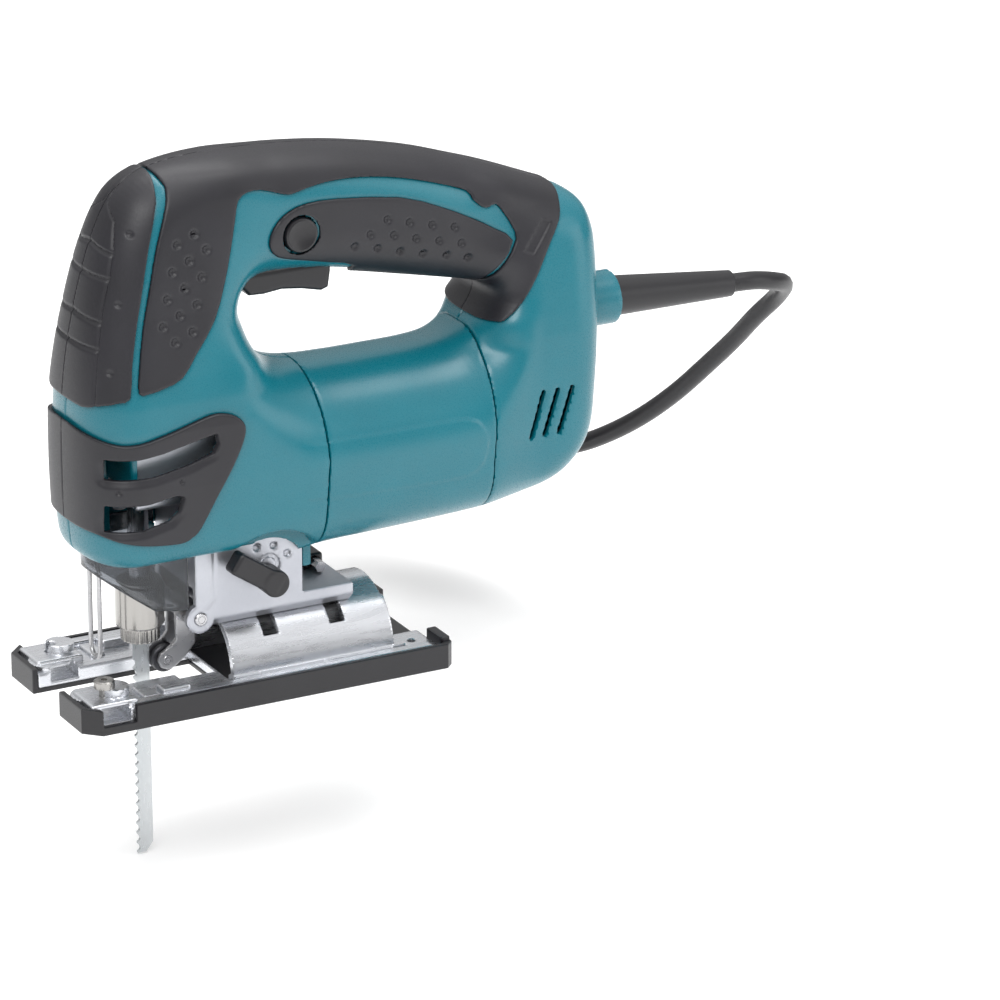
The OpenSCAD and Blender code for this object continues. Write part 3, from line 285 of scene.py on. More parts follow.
# %% Bodies and slots
SLOT_OF = {p["node"]: p["material_slot"] for p in frame["record"]["subparts"]}
BODY_OF = {n: b for b, members in frame["record"]["behaviour"]["bodies"].items() for n in members}
print(f"{len(SLOT_OF)} nodes on {len(set(BODY_OF.values()))} bodies")


# %% [markdown]
# ## Tools
#
# Most pieces are the zero surface of a field: a function of x, y and z that is negative
# inside the piece. Fields are cut and joined with minimum and maximum, and one surface net
# turns any of them into quads.

# %% Placing a piece
def place(obj, *names, look=None, finish=None):
    """Gives a finished object its material, the body it rides on and the nodes it stands for."""
    slot = SLOT_OF[names[0]]
    obj.data.materials.clear()
    obj.data.materials.append(finish or LOOKS[look or slot])
    if obj.name not in scene.collection.objects:
        scene.collection.objects.link(obj)
    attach(obj, BODY_OF[names[0]])
    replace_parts(obj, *names)
    return obj


def quads_object(name, points, quads, angle=38):
    """An object from arrays of points in millimetres and of four corners a face."""
    mesh = bpy.data.meshes.new(name)
    mesh.vertices.add(len(points))
    mesh.vertices.foreach_set("co", (np.asarray(points) * MM).ravel())
    mesh.loops.add(4 * len(quads))
    mesh.loops.foreach_set("vertex_index", np.asarray(quads, np.int32).ravel())
    mesh.polygons.add(len(quads))
    mesh.polygons.foreach_set("loop_start", np.arange(0, 4 * len(quads), 4, dtype=np.int32))
    mesh.update(calc_edges=True)
    mesh.validate()
    mesh.shade_smooth()
    mesh.set_sharp_from_angle(angle=math.radians(angle))
    print(f"{name}: {len(quads)} quads")
    return bpy.data.objects.new(name, mesh)


def faces_object(name, points, faces, angle=38):
    """A small object from lists; doubled points are welded and its faces turned outward."""
    mesh = bpy.data.meshes.new(name)
    mesh.from_pydata([tuple(float(c) * MM for c in p) for p in points], [], faces)
    work = bmesh.new()
    work.from_mesh(mesh)
    bmesh.ops.remove_doubles(work, verts=work.verts, dist=1e-6)
    bmesh.ops.recalc_face_normals(work, faces=work.faces)
    work.to_mesh(mesh)
    work.free()
    mesh.shade_smooth()
    mesh.set_sharp_from_angle(angle=math.radians(angle))
    return bpy.data.objects.new(name, mesh)


# %% [markdown]
# ## Surface net
#
# A field could be meshed with metaballs or booleans, but both leave long thin faces. A
# surface net puts one point in each crossed cell and joins neighbours into even quads, and
# a short step along the field's slope then sets each point on the surface itself.

# %% Surface net
def surface_net(name, field, lo, hi, step, angle=38):
    """The zero surface of a field as quads, one point in every cell that the surface crosses.

    The point is the mean of the crossings on the cell's twelve edges, t = a / (a - b), and
    is then moved onto the surface with p -= f(p) * g / |g|^2, g being the field's slope.
    """
    lo, hi = np.array(lo, float), np.array(hi, float)
    n = np.ceil((hi - lo) / step).astype(int) + 1
    x, y, z = (lo[k] + step * np.arange(n[k]) for k in range(3))
    v = np.broadcast_to(field(x[:, None, None], y[None, :, None], z[None, None, :]),
                        n).astype(np.float32)
    inside = v < 0
    count = np.zeros(n - 1, np.int8)
    for i in (0, 1):
        for j in (0, 1):
            for k in (0, 1):
                count += inside[i:n[0] - 1 + i, j:n[1] - 1 + j, k:n[2] - 1 + k]
    cells = np.argwhere((count > 0) & (count < 8))
    number = np.full(n - 1, -1, np.int32)
    number[tuple(cells.T)] = np.arange(len(cells))
    total = np.zeros((len(cells), 3))
    hits = np.zeros(len(cells))
    for axis in range(3):
        others = [k for k in range(3) if k != axis]
        for i in (0, 1):
            for j in (0, 1):
                start = np.zeros(3, int)
                start[others[0]], start[others[1]] = i, j
                end = start.copy()
                end[axis] = 1
                a = v[tuple((cells + start).T)].astype(float)
                b = v[tuple((cells + end).T)].astype(float)
                cross = (a < 0) != (b < 0)
                t = np.where(cross, a / np.where(cross, a - b, 1), 0)
                point = cells + start + t[:, None] * (end - start)
                total += np.where(cross[:, None], point, 0)
                hits += cross
    points = lo + step * total / hits[:, None]
    quads = []
    for axis in range(3):
        b, c = (axis + 1) % 3, (axis + 2) % 3
        first = [slice(None)] * 3
        second = [slice(None)] * 3
        first[axis], second[axis] = slice(0, n[axis] - 1), slice(1, n[axis])
        for s in (first, second):
            s[b], s[c] = slice(1, n[b] - 1), slice(1, n[c] - 1)
        low, high = inside[tuple(first)], inside[tuple(second)]
        for turned in (False, True):
            at = np.argwhere((low & ~high) if not turned else (~low & high))
            at[:, b] += 1
            at[:, c] += 1
            ring = []
            for db, dc in ((-1, -1), (0, -1), (0, 0), (-1, 0)):
                cell = at.copy()
                cell[:, b] += db
                cell[:, c] += dc
                ring.append(number[tuple(cell.T)])
            ring = np.stack(ring, 1)
            quads.append(ring[:, ::-1] if turned else ring)
    quads = np.concatenate(quads)
    h = 0.02
    for _ in range(2):
        px, py, pz = points.T
        f = field(px, py, pz)
        g = np.stack([field(px + h, py, pz) - f, field(px, py + h, pz) - f, field(px, py, pz + h) - f],
                     1) / h
        move = -(f / np.maximum((g * g).sum(1), 0.3))[:, None] * g
        points = points + np.clip(move, -0.4 * step, 0.4 * step)
    return quads_object(name, points, quads, angle)


def mirrored(obj, name):
    """A copy of an object on the other side of the plane Y = 0."""
    mesh = obj.data.copy()
    mesh.name = name
    mesh.transform(Matrix.Scale(-1, 4, (0, 1, 0)))
    mesh.flip_normals()
    return bpy.data.objects.new(name, mesh)


# %% [markdown]
# ## Turned, swept and flat shapes
#
# Pins, buttons and rollers are turned on a lathe, wires are drawn, and a blade is stamped
# from strip. Each of those is a profile carried round an axis, along a path or straight
# through, which needs far fewer faces than a field does.

# %% Turned, swept and flat shapes
def lathe(name, profile, origin, axis, sides=64, closed=False, angle=38):
    """A profile of (radius, place along the axis) turned about an axis through origin."""
    axis = np.array(axis, float) / np.linalg.norm(axis)
    side = np.cross(axis, (0, 0, 1) if abs(axis[2]) < 0.9 else (1, 0, 0))
    side /= np.linalg.norm(side)
    up = np.cross(axis, side)
    p = np.array(profile, float)
    a = np.linspace(0, 2 * np.pi, sides, endpoint=False)
    out = np.cos(a)[:, None] * side + np.sin(a)[:, None] * up
    points = np.array(origin, float) + p[:, 1, None, None] * axis + p[:, 0, None, None] * out
    rows = len(p) if closed else len(p) - 1
    faces = []
    for i in range(rows):
        k = (i + 1) % len(p)
        for j in range(sides):
            m = (j + 1) % sides
            quad = [i * sides + j, i * sides + m, k * sides + m, k * sides + j]
            if p[i, 0] == 0:
                quad = quad[1:]
            elif p[k, 0] == 0:
                quad = quad[:3]
            faces.append(quad)
    return faces_object(name, points.reshape(-1, 3), faces, angle)


def tube_points(path, radius, sides=14):
    """Rings of points round a path, turned as little as possible from one to the next."""
    path = np.array(path, float)
    along = np.gradient(path, axis=0)
    along /= np.linalg.norm(along, axis=1)[:, None]
    side = np.cross(along[0], (0.1, 0.2, 1.0))
    rings = []
    a = np.linspace(0, 2 * np.pi, sides, endpoint=False)
    for p, t in zip(path, along):
        side = side - t * side.dot(t)
        side /= np.linalg.norm(side)
        up = np.cross(t, side)
        rings.append(p + radius * (np.cos(a)[:, None] * side + np.sin(a)[:, None] * up))
    return rings


def wire(name, path, radius, sides=14):
    """A round wire along a path, closed at both ends."""
    rings = tube_points(path, radius, sides)
    n = len(rings)
    faces = [[i * sides + j, i * sides + (j + 1) % sides, (i + 1) * sides + (j + 1) % sides,
              (i + 1) * sides + j]
             for i in range(n - 1) for j in range(sides)]
    faces += [list(range(sides))[::-1], list(range((n - 1) * sides, n * sides))]
    return faces_object(name, np.concatenate(rings), faces)


def plate(name, outline, y0, y1, angle=30):
    """A flat outline in the side view, given some thickness along Y."""
    n = len(outline)
    points = [(x, y0, z) for x, z in outline] + [(x, y1, z) for x, z in outline]
    faces = [[i, (i + 1) % n, n + (i + 1) % n, n + i] for i in range(n)]
    faces += [list(range(n)), list(range(n, 2 * n))[::-1]]
    return faces_object(name, points, faces, angle)


def joined(name, *parts):
    """Several small objects as one."""
    work = bmesh.new()
    for part in parts:
        work.from_mesh(part.data)
    mesh = bpy.data.meshes.new(name)
    work.to_mesh(mesh)
    work.free()
    mesh.shade_smooth()
    mesh.set_sharp_from_angle(angle=math.radians(38))
    return bpy.data.objects.new(name, mesh)


# %% [markdown]
# ## Fields and outlines
#
# Boxes and rods with eased edges are the blanks, `cut` and `join` are the machining, and
# `soft_max` leaves the fillet that a mould or a casting has. Side outlines are smooth
# curves through a few given points.

# %% Fields
def box_field(x, y, z, lo, hi, r=0.0):
    """Distance to a box with rounded edges: |max(q, 0)| + min(max(q), 0) - r, with q = |p - c| - h + r."""
    q = [np.abs(p - (a + b) / 2) - (b - a) / 2 + r for p, a, b in zip((x, y, z), lo, hi)]
    outer = np.sqrt(sum(np.maximum(k, 0) ** 2 for k in q))
    return outer + np.minimum(np.maximum(np.maximum(q[0], q[1]), q[2]), 0) - r


def rod_field(a, b, r, t, t0, t1):
    """Distance to a cylinder: a and b are measured from its axis, t along it."""
    return np.maximum(np.hypot(a, b) - r, np.maximum(t0 - t, t - t1))


def soft_max(a, b, k):
    """The larger of two fields with a fillet about k wide: b (1 - h) + a h + k h (1 - h)."""
    h = np.clip(0.5 + 0.5 * (a - b) / k, 0, 1)
    return b * (1 - h) + a * h + k * h * (1 - h)


def soft_min(a, b, k):
    """The smaller of two fields with a fillet."""
    return -soft_max(-a, -b, k)


def cut(a, *others):
    """A field with other fields taken away."""
    for b in others:
        a = np.maximum(a, -b)
    return a


def join(*fields):
    """Several fields as one."""
    made = fields[0]
    for f in fields[1:]:
        made = np.minimum(made, f)
    return made


def smooth(t):
    """3 t^2 - 2 t^3 between 0 and 1, and flat outside."""
    t = np.clip(t, 0, 1)
    return t * t * (3 - 2 * t)


# %% Curves
def closed_curve(points, steps=4):
    """A closed Catmull-Rom curve through given points."""
    p = np.array(points, float)
    a, b, c, d = (np.roll(p, k, axis=0)[:, None] for k in (1, 0, -1, -2))
    t = (np.arange(steps) / steps)[None, :, None]
    q = 0.5 * (2 * b + (c - a) * t + (2 * a - 5 * b + 4 * c - d) * t**2 + (3 * b - a - 3 * c + d) * t**3)
    return q.reshape(-1, 2)


def open_curve(points, steps=6):
    """An open Catmull-Rom curve through given points, its ends kept."""
    p = np.array(points, float)
    p = np.concatenate([2 * p[:1] - p[1:2], p, 2 * p[-1:] - p[-2:-1]])
    t = (np.arange(steps) / steps)[None, :, None]
    a, b, c, d = (p[k:len(p) - 3 + k][:, None] for k in range(4))
    q = 0.5 * (2 * b + (c - a) * t + (2 * a - 5 * b + 4 * c - d) * t**2 + (3 * b - a - 3 * c + d) * t**3)
    return np.concatenate([q.reshape(-1, p.shape[1]), p[-2:-1]])


def polygon_distance(x, z, poly):
    """Signed distance to a closed outline, negative inside it.

    The size is the distance to the nearest edge, and the sign comes from the crossing rule.
    """
    x, z = np.broadcast_arrays(np.asarray(x, float), np.asarray(z, float))
    best = np.full(x.shape, 1e9)
    inside = np.zeros(x.shape, bool)
    for (ax, az), (bx, bz) in zip(poly, np.roll(poly, -1, axis=0)):
        ex, ez = bx - ax, bz - az
        wx, wz = x - ax, z - az
        t = np.clip((wx * ex + wz * ez) / (ex * ex + ez * ez + 1e-12), 0, 1)
        best = np.minimum(best, (wx - ex * t) ** 2 + (wz - ez * t) ** 2)
        over = ((az <= z) & (bz > z)) | ((bz <= z) & (az > z))
        if abs(bz - az) > 1e-12:
            inside ^= over & (x < ax + (z - az) / (bz - az) * ex)
    return np.where(inside, -1, 1) * np.sqrt(best)


def line_distance(x, z, points):
    """Distance to an open chain of given points."""
    best = 1e9
    for (ax, az), (bx, bz) in zip(points[:-1], points[1:]):
        ex, ez = bx - ax, bz - az
        t = np.clip(((x - ax) * ex + (z - az) * ez) / (ex * ex + ez * ez), 0, 1)
        best = np.minimum(best, np.hypot(x - ax - ex * t, z - az - ez * t))
    return best


# %% [markdown]
# ## Mains lead
#
# Two and a half metres of round cable: down from the strain relief behind the handle, eight
# turns of a flat coil level with the sole, 69 mm above the bench, four inward below and four outward on
# top, then the plug.

# %% Cord
CORD_R = 3.75
COIL = (160.0, 190.0)
COIL_IN, COIL_OUT, COIL_SPAN = 26.8, 57.6, 30.8
TURNS, POINTS_A_TURN = 4, 44
LAYER_LOW, LAYER_RISE, LAYER_TOP = 3.8, 7.9, 11.7
guard_tip = (RELIEF_X + RELIEF_STRAIGHT + RELIEF_TAPER * math.cos(RELIEF_DIP), 0.0,
             MOTOR_Z + 35.3 - RELIEF_TAPER * math.sin(RELIEF_DIP))
drop = open_curve([guard_tip, (230, 0, 121), (241, 3, 118), (250, 11, 113), (254, 23, 104),
                   (252, 36, 92),
                   (250, 50, 78), (246, 65, 63), (241, 80, 48), (235, 96, 34), (229, 113, 22),
                   (223, 131, 12),
                   (219.4, 150, 5.5), (217.6, 170, 3.9), (217.6, 190, 3.8)], 5)
steps = np.linspace(0, 1, TURNS * POINTS_A_TURN + 1)
swing = 2 * np.pi * TURNS * steps
inward = COIL_OUT - COIL_SPAN * steps
lower = np.stack([COIL[0] + inward * np.cos(swing), COIL[1] + inward * np.sin(swing),
                  LAYER_LOW + LAYER_RISE * smooth((steps - 0.86) / 0.14)], 1)
outward = COIL_IN + COIL_SPAN * steps
upper = np.stack([COIL[0] + outward * np.cos(swing), COIL[1] + outward * np.sin(swing),
                  np.full(len(steps), LAYER_TOP)], 1)
leave = open_curve([(217.6, 190, 11.7), (216, 206, 11.4), (209, 224, 9), (198, 239, 6), (184, 251, 4.6),
                    (169, 259.5, 6), (154, 262.6, 10), (141, 263, 13)], 5)
route = np.concatenate([drop, lower[1:], upper[1:], leave[1:]])

# %% The lead's curve
curve = bpy.data.curves.new("lead", "CURVE")
curve.dimensions = "3D"
curve.bevel_depth = CORD_R * MM
curve.bevel_resolution = 4
curve.use_fill_caps = True
spline = curve.splines.new("POLY")
spline.points.add(len(route) - 1)
spline.points.foreach_set("co", np.concatenate([route * MM, np.ones((len(route), 1))], 1).ravel())
spline.use_smooth = True
lead = place(bpy.data.objects.new("lead", curve), "cord", "cord_coil")

# %% [markdown]
# ## Plug
#
# A plain two-pin plug moulded onto the lead. Two flattened cylinders make the grip, and the
# grooves for the fingers are taken off its depth, so that they stay soft like the mould.

# %% Plug
plug_at = np.array([142.0, 263.0, 13.0])


def plug_field(x, y, z):
    """Two cylinders drawn together, a tapered neck and three finger grooves on each side."""
    along, across, up = x - plug_at[0], y - plug_at[1], z - plug_at[2]
    flat = np.hypot(np.maximum(np.abs(across) - 6, 0), up)
    groove = 0.9 * sum(np.exp(-((along + s) / 1.6) ** 2) for s in (24, 31, 38))
    body_part = soft_max(flat - 12.6 + groove, np.abs(along + 31) - 17, 3.0)
    cone = np.hypot(across, up) - 5.6 + 0.3 * np.minimum(along, 0)
    neck = soft_max(cone, np.maximum(along, -along - 20), 1.0)
    return soft_min(body_part, neck, 2.0)


plug = place(surface_net("plug", plug_field, (90, 240, -2), (144, 286, 28), 0.7), "plug")
pins = joined("plug_pins", *[
    lathe("pin", [(0, 0), (1.6, 0), (2.4, 1.2), (2.4, 22), (0, 22)],
          (plug_at[0] - 67, plug_at[1] + s * 9.5, plug_at[2]), (1, 0, 0), 32) for s in (-1, 1)])
place(pins, "plug", look="nickel")


# %% [markdown]
# ## The body
#
# One field describes the whole plastic body. The side view gives a depth inside the outline,
# the height and the length give a half width, and the two meet as a superellipse:
# s = (|y / w|^p + (1 - depth / r)^p)^(1 / p), the body being where s is under 1.

# %% Body outlines
OUTER = [(-50, 44), (-59, 47), (-63.5, 56), (-65.4, 66), (-66, 78), (-66.2, 95), (-66, 112),
         (-65.4, 123), (-64.2, 134),
    (-62.4, 145), (-59.6, 158), (-56.6, 169), (-52.6, 181), (-47.5, 192), (-42, 199), (-34, 203.6),
    (-24, 206),
    (-9, 207.2), (8, 207), (27, 205.8), (49, 203), (75, 197.6), (95, 191.4), (114, 184.6), (132, 177.4),
    (142, 173.4),
    (148.4, 168), (151.4, 160), (152.2, 150), (152.2, 135), (151.6, 115), (150.6, 98), (149, 82),
    (145, 72), (139, 64.6),
    (131, 59), (120, 55.4), (108, 53.6), (90, 52.4), (70, 51.6), (50, 51), (30, 50.4), (12, 48),
    (-20, 45)]
HOLE = [(0.5, 150), (1.8, 144), (4.6, 136), (9.5, 129), (18, 124), (30, 121.8), (46, 121.2),
        (62, 121.2), (78, 121.4),
    (89, 122.6), (97, 126), (102.5, 131.5), (105.8, 138), (105, 142.6), (100, 144.6), (87, 147.4),
    (70, 151), (51, 155),
    (36, 157.6), (20, 159.2), (9, 159), (3, 156)]

OUTER_LINE = closed_curve(OUTER)
HOLE_LINE = closed_curve(HOLE)
HEAD_Z = (40, 62, 68, 89.5, 112, 122, 131, 145, 155, 168, 181, 195, 204)
HEAD_W = (28, 28, 28.8, 30, 30, 29, 27.5, 25.5, 24, 22.5, 20.5, 18, 16)
TAIL_Z = (58, 66, 75, 90, 110, 123, 131, 141, 150, 158, 165, 173)
TAIL_W = (25, 27, 28, 28.5, 28.5, 28, 27, 25.5, 24, 22.5, 20.5, 19)


# %% Body field
def body_shape(x, z):
    """Depth inside the side view, half width, rounding depth and roundness."""
    depth = np.minimum(-polygon_distance(x, z, OUTER_LINE), polygon_distance(x, z, HOLE_LINE))
    head_w = np.interp(z, HEAD_Z, HEAD_W)
    tail_w = np.interp(z, TAIL_Z, TAIL_W)
    low = head_w + (33.5 - head_w) * smooth((x + 25) / 52)
    low = low + (tail_w - low) * smooth((x - 96) / 26)
    high = head_w + (18.7 - head_w) * smooth((x + 20) / 40)
    high = high + (tail_w - high) * smooth((x - 88) / 34)
    up = smooth((z - 121) / 30)
    width = low + (high - low) * up
    barrel = smooth((x + 20) / 46) * smooth((124 - x) / 28) * (1 - smooth((z - 118) / 14))
    handle = smooth((z - 135) / 22) * smooth((x + 6) / 22) * smooth((112 - x) / 20)
    rear = smooth((x - 100) / 30)
    rounding = 22 - 5 * rear - 4 * smooth((z - 150) / 40) * (1 - rear)
    leg = smooth((x + 34) / 22) * smooth((z - 112) / 22) * (1 - rear)
    rounding = rounding + (13 - rounding) * leg
    rounding = rounding + (19.5 - rounding) * handle
    rounding = rounding + (33.5 - rounding) * barrel
    under = barrel * smooth((92 - z) / 16)
    rounding = rounding - 4 * under
    width = width - 1.6 * under
    power = 2.5 - 0.5 * barrel - 0.2 * handle + 0.7 * under
    return depth, width, rounding, power


def belly(x):
    """Height of the open underside."""
    return 58 - 14 * smooth((x + 2) / 26)


def body(x, y, z, shape=None):
    """About the distance to the body's surface, negative inside, with the underside filleted in."""
    depth, width, rounding, power = body_shape(x, z) if shape is None else shape
    a = np.abs(y) / width + 1e-6
    b = np.maximum(0, 1 - depth / rounding) + 1e-6
    s = (a**power + b**power) ** (1 / power)
    slope = np.hypot((a / s) ** (power - 1) / width, (b / s) ** (power - 1) / rounding)
    d = (s - 1) / slope
    return soft_max(d, belly(x) - z, 7.0)


# %% [markdown]
# ## Outlines of the soft skins
#
# The rubber is moulded over the shells within lines that are easiest to set in the side
# view. Where an outline runs outside the body, the skin wraps over the edge to the seam.

# %% Outlines of the soft skins
GRIP = closed_curve([(-48.6, 128.2), (-47.8, 136.2), (-45, 151.2), (-41.2, 166), (-37.1, 180.8),
                     (-32.2, 193.3),
    (-29.5, 201.1), (-28.5, 216), (30, 220), (90, 220), (137.5, 216), (138.5, 195), (137.5, 181),
    (134.1, 172.2),
    (131.8, 166.6), (126.5, 159), (120.5, 148.6), (113.7, 137.7), (107.5, 131.8), (104.3, 130),
    (97, 130), (96, 138),
    (101, 143.5), (106.5, 152), (112.3, 161.8), (111, 167.1), (108.4, 171.8), (104.8, 176.3),
    (101.8, 175.4),
    (98.9, 176), (95.4, 179.3), (93.1, 182.9), (79.7, 187.8), (66.5, 191.5), (54.6, 193.8),
    (43.8, 194.9),
    (34, 194.9), (25, 193.8), (18.6, 192.6), (13.6, 193.9), (7.1, 196), (1.3, 196), (-2.5, 193.6),
    (-4, 187.8),
    (-6.8, 176.2), (-10.7, 163), (-15.6, 151), (-24.3, 139.5), (-30.6, 131.5), (-38.3, 128.8),
    (-44.9, 127.7)], 2)
PAD = closed_curve([(10, 173), (10, 177.6), (13, 182.5), (17.9, 186.2), (25.5, 188.4), (38.9, 188.3),
                    (64.7, 184.9),
    (81.3, 178.9), (94.8, 172.4), (104.3, 167), (111.2, 161.8), (105.5, 152.3), (100, 143.9), (99, 138),
    (72, 136),
    (48, 138), (46, 148), (47.9, 158.6), (36.3, 162.3), (21.1, 166.1), (13.7, 168.7)], 2)
BUMPER = closed_curve([(-70, 123), (-61, 123.9), (-56.5, 125.3), (-51.9, 127), (-50.3, 138.1),
                       (-47.7, 150.5),
    (-44.3, 164.6), (-40.1, 181), (-35.8, 193.6), (-33.6, 199.9), (-33, 212), (-52, 212), (-70, 212),
    (-74, 180),
    (-74, 150)], 2)
VENT = closed_curve([(-72, 116.5), (-66, 112.5), (-58, 109.7), (-50, 109.5), (-38, 111.8), (-22, 116),
                     (-16, 116.3),
    (-10.5, 114.5), (-7.2, 110.5), (-8, 104.5), (-12, 95.5), (-18, 85), (-25, 72.5), (-29, 68.8),
    (-34, 67.3),
    (-46, 68.5), (-56, 70.5), (-64, 73.2), (-72, 76.5), (-78, 96)], 3)
WINDOWS = [np.array([(-61, 103), (-50, 103), (-40, 104), (-28, 106.5), (-19, 108.3), (-18.4, 105),
                     (-20.5, 101.5),
                     (-30, 98.2), (-44, 95.7), (-61, 95.5)]),
           np.array([(-61, 84.8), (-46, 84.9), (-35, 86.5), (-32.8, 85.6), (-34.5, 80.5), (-38, 77.2),
                     (-48, 75),
                     (-61, 74.6)])]
SIDE_DIMPLES = [(-21.6, 184), (-28.8, 181), (-17.3, 177.7), (-24.6, 174.5), (-31.7, 171.3),
                (-20.1, 167.9),
    (-27.3, 164.7), (-34.5, 161.6), (-22.8, 158), (-29.9, 154.9), (-37, 151.7), (-25.3, 148.2),
    (-32.6, 145.3)]
PAD_DIMPLES = [(58.7, 177.3), (68, 174.8), (77.5, 172.4), (87, 170.2), (51.6, 172.5), (61.4, 170.8),
               (70.8, 168.1),
    (80.6, 165.7), (90, 163.3), (45.4, 168.5), (55, 166.3), (64.6, 163.6), (74.3, 161.2), (84.3, 159.1),
    (93.3, 156.8)]
RIDGE_Z = (110, 124.7, 135.8, 147.6, 158.4, 170, 180.7, 190, 195, 204)
RIDGE_Y = (20.5, 19.8, 18.7, 17.5, 16.2, 15.7, 13.9, 10, 1.8, 0)


# %% Dimples, windows and the raised panel
def pits(x, z, places, radius, depth):
    """A round dimple at every place: depth * exp(-(r / radius)^4)."""
    made = 0.0
    for px, pz in places:
        made = made + depth * np.exp(-(np.hypot(x - px, z - pz) / radius) ** 4)
    return made


def windows(x, z, slope=0.0):
    """The two cooling windows of the side cover, grown by slope."""
    return join(*[polygon_distance(x, z, w) for w in WINDOWS]) - slope


PANEL = closed_curve([(4, 98.6), (26, 98.8), (56, 98.6), (82, 98.4), (90, 96.5), (94, 91), (94.8, 86),
                      (93.4, 79),
    (89, 74.8), (82, 73.6), (60, 73.8), (36, 74.6), (18, 75.8), (10, 78), (4, 84)], 3)


def panel(x, z):
    """How far the plain raised panel stands out of the barrel's side."""
    return 0.5 * smooth(-polygon_distance(x, z, PANEL) / 1.0) * smooth((x - 14) / 8)


# %% [markdown]
# ## Shell halves
#
# Each half is a thin moulding with a seam at Y = 0. Taking the body's own field and
# keeping the last 3 mm of it gives an even wall everywhere, and the openings for the
# trigger, the lock button, the windows and the lead are cut through that wall.

# %% Shell halves
BODY_LO, BODY_HI = (-72, -44, 38), (170, 1, 212)


def shell_field(side):
    """The hollow shell on one side: a 3 mm wall, sunk 0.4 mm under the skins, with its openings cut."""
    def field(x, y, z):
        d = body(x, y, z)
        flat = join(polygon_distance(x, z, GRIP), polygon_distance(x, z, PAD),
                    polygon_distance(x, z, BUMPER),
                    polygon_distance(x, z, VENT))
        swing = rod_field(x - LEVER_X, z - LEVER_Z, 21.5, -y, 21.6, 60)
        d = soft_max(d, -swing, 1.5) if side < 0 else d
        outer = d + 0.4 * smooth(0.2 - flat / 0.8) - panel(x, z)
        boss = rod_field(y, z - RELIEF_Z, 10.6, x, 144, 165)
        tabs = join(*[box_field(x, y, z, (22.7, c - w, 43.5), (26.7, c + w, 63), 0.6)
                      for c, w in ((0, 8), (-13, 4), (13, 4))])
        solid = soft_min(outer, boss, 2.0)
        f = join(np.maximum(solid, -(d + WALL)), tabs)
        f = cut(f,
                box_field(x, y, z, (26.8, -60, 0), (98.2, 60, 138)),
                box_field(x, y, z, (-25.3, -18.3, 0), (22.6, 18.3, 61.6), 0.3),
                box_field(x, y, z, (-60, -16.5, 0), (-24, 16.5, 80), 12),
                box_field(x, y, z, (3, -8.5, 144.5), (41.5, 8.5, 168)),
                rod_field(x - LOCK_X, z - LOCK_Z, 7.1, y, -40, -10.7),
                rod_field(x - DIAL_X, y - DIAL_Y, 12.5, z, 139.2, 146.8),
                rod_field(y, z - RELIEF_Z, 8.15, x, 139, 170),
                np.maximum(windows(x, z, 1.3), -np.abs(y) + 15))
        if side < 0:
            f = cut(f, rod_field(x - LEVER_X, z - LEVER_Z, 16.2, y, -60, -18))
            f = join(f, box_field(x, y, z, (-64, -1.5, 66), (-49.5, 0.5, 118), 0.2),
                     box_field(x, y, z, (-50.8, -25.5, 88), (-48.6, 0.5, 116), 0.2))
        for k in range(3):
            a = math.radians(18)
            u, w = x - (118 + 6.3 * k), z - 92.5
            along, across = w * math.cos(a) + u * math.sin(a), u * math.cos(a) - w * math.sin(a)
            slot_shape = np.hypot(np.maximum(np.abs(along) - 9, 0), across) - 1.1
            f = cut(f, np.maximum(slot_shape, 20 - np.abs(y)))
        return np.maximum(f, 0.05 - side * y)
    return field


place(surface_net("shell_left", shell_field(-1), BODY_LO, BODY_HI, 1.1), "housing_left")
place(surface_net("shell_right", shell_field(1), (-72, -1, 38), (170, 44, 212), 1.1), "housing_right")


# %% [markdown]
# ## Motor housing
#
# The barrel is one ring between two seams, so it is the same body field between two
# planes, bored out for the stator, with the rear bearing's seat held on four spokes.

# %% Motor housing
def barrel_field(x, y, z):
    """The barrel between its two seams, with the rear bearing's seat and its spokes inside."""
    d = body(x, y, z)
    r = np.hypot(y, z - MOTOR_Z)
    wall = cut(soft_max(d - panel(x, z), np.abs(x - 62.5) - 35.3, 0.8), r - 30)
    seat = np.maximum(r - 13.5, np.maximum(89 - x, x - 97.8))
    spokes = np.maximum(np.minimum(np.abs(y - (z - MOTOR_Z)), np.abs(y + (z - MOTOR_Z))) - 7,
                        np.maximum(r - 30.5, np.maximum(89 - x, x - 93)))
    return cut(join(wall, seat, spokes), np.maximum(r - 9.5, 90 - x), r - 5.5)


def under_handle(x, y, z):
    """The barrel, stopped below the hand opening."""
    return np.maximum(barrel_field(x, y, z), z - 137.8)


place(surface_net("motor_housing", under_handle, (25, -36, 46), (100, 36, 140), 0.9), "motor_housing")


# %% [markdown]
# ## Soft skins
#
# A skin is the band of the body's field from a little under the surface to a little over
# it, within its outline, so it follows every curve below it. Dimples, grooves and the dip
# round a window are taken off the outer face only.

# %% Soft skins
def skin_field(outline, thick, start=0.05, low=0.4, relief=None, opening=None):
    """A skin on the left side: from low under the surface to thick over it, within an outline."""
    def field(x, y, z):
        d = body(x, y, z)
        top = d - thick if relief is None else d - thick + relief(x, y, z)
        f = soft_max(top, polygon_distance(x, z, outline) + 0.1, 0.9)
        f = np.maximum(f, -(d + low))
        f = np.maximum(f, start + y)
        return f if opening is None else cut(f, opening(x, y, z))
    return field


def grip_relief(x, y, z):
    """Dimples at the front of the handle and the sunk mark at its rear."""
    mark = polygon_distance(x, z, np.array([(124, 168.2), (127.8, 166.4), (118.7, 155.4),
                                            (114.6, 157.1)]))
    return pits(x, z, SIDE_DIMPLES, 1.6, 1.0) + 0.6 * smooth(0.3 - mark / 0.8)


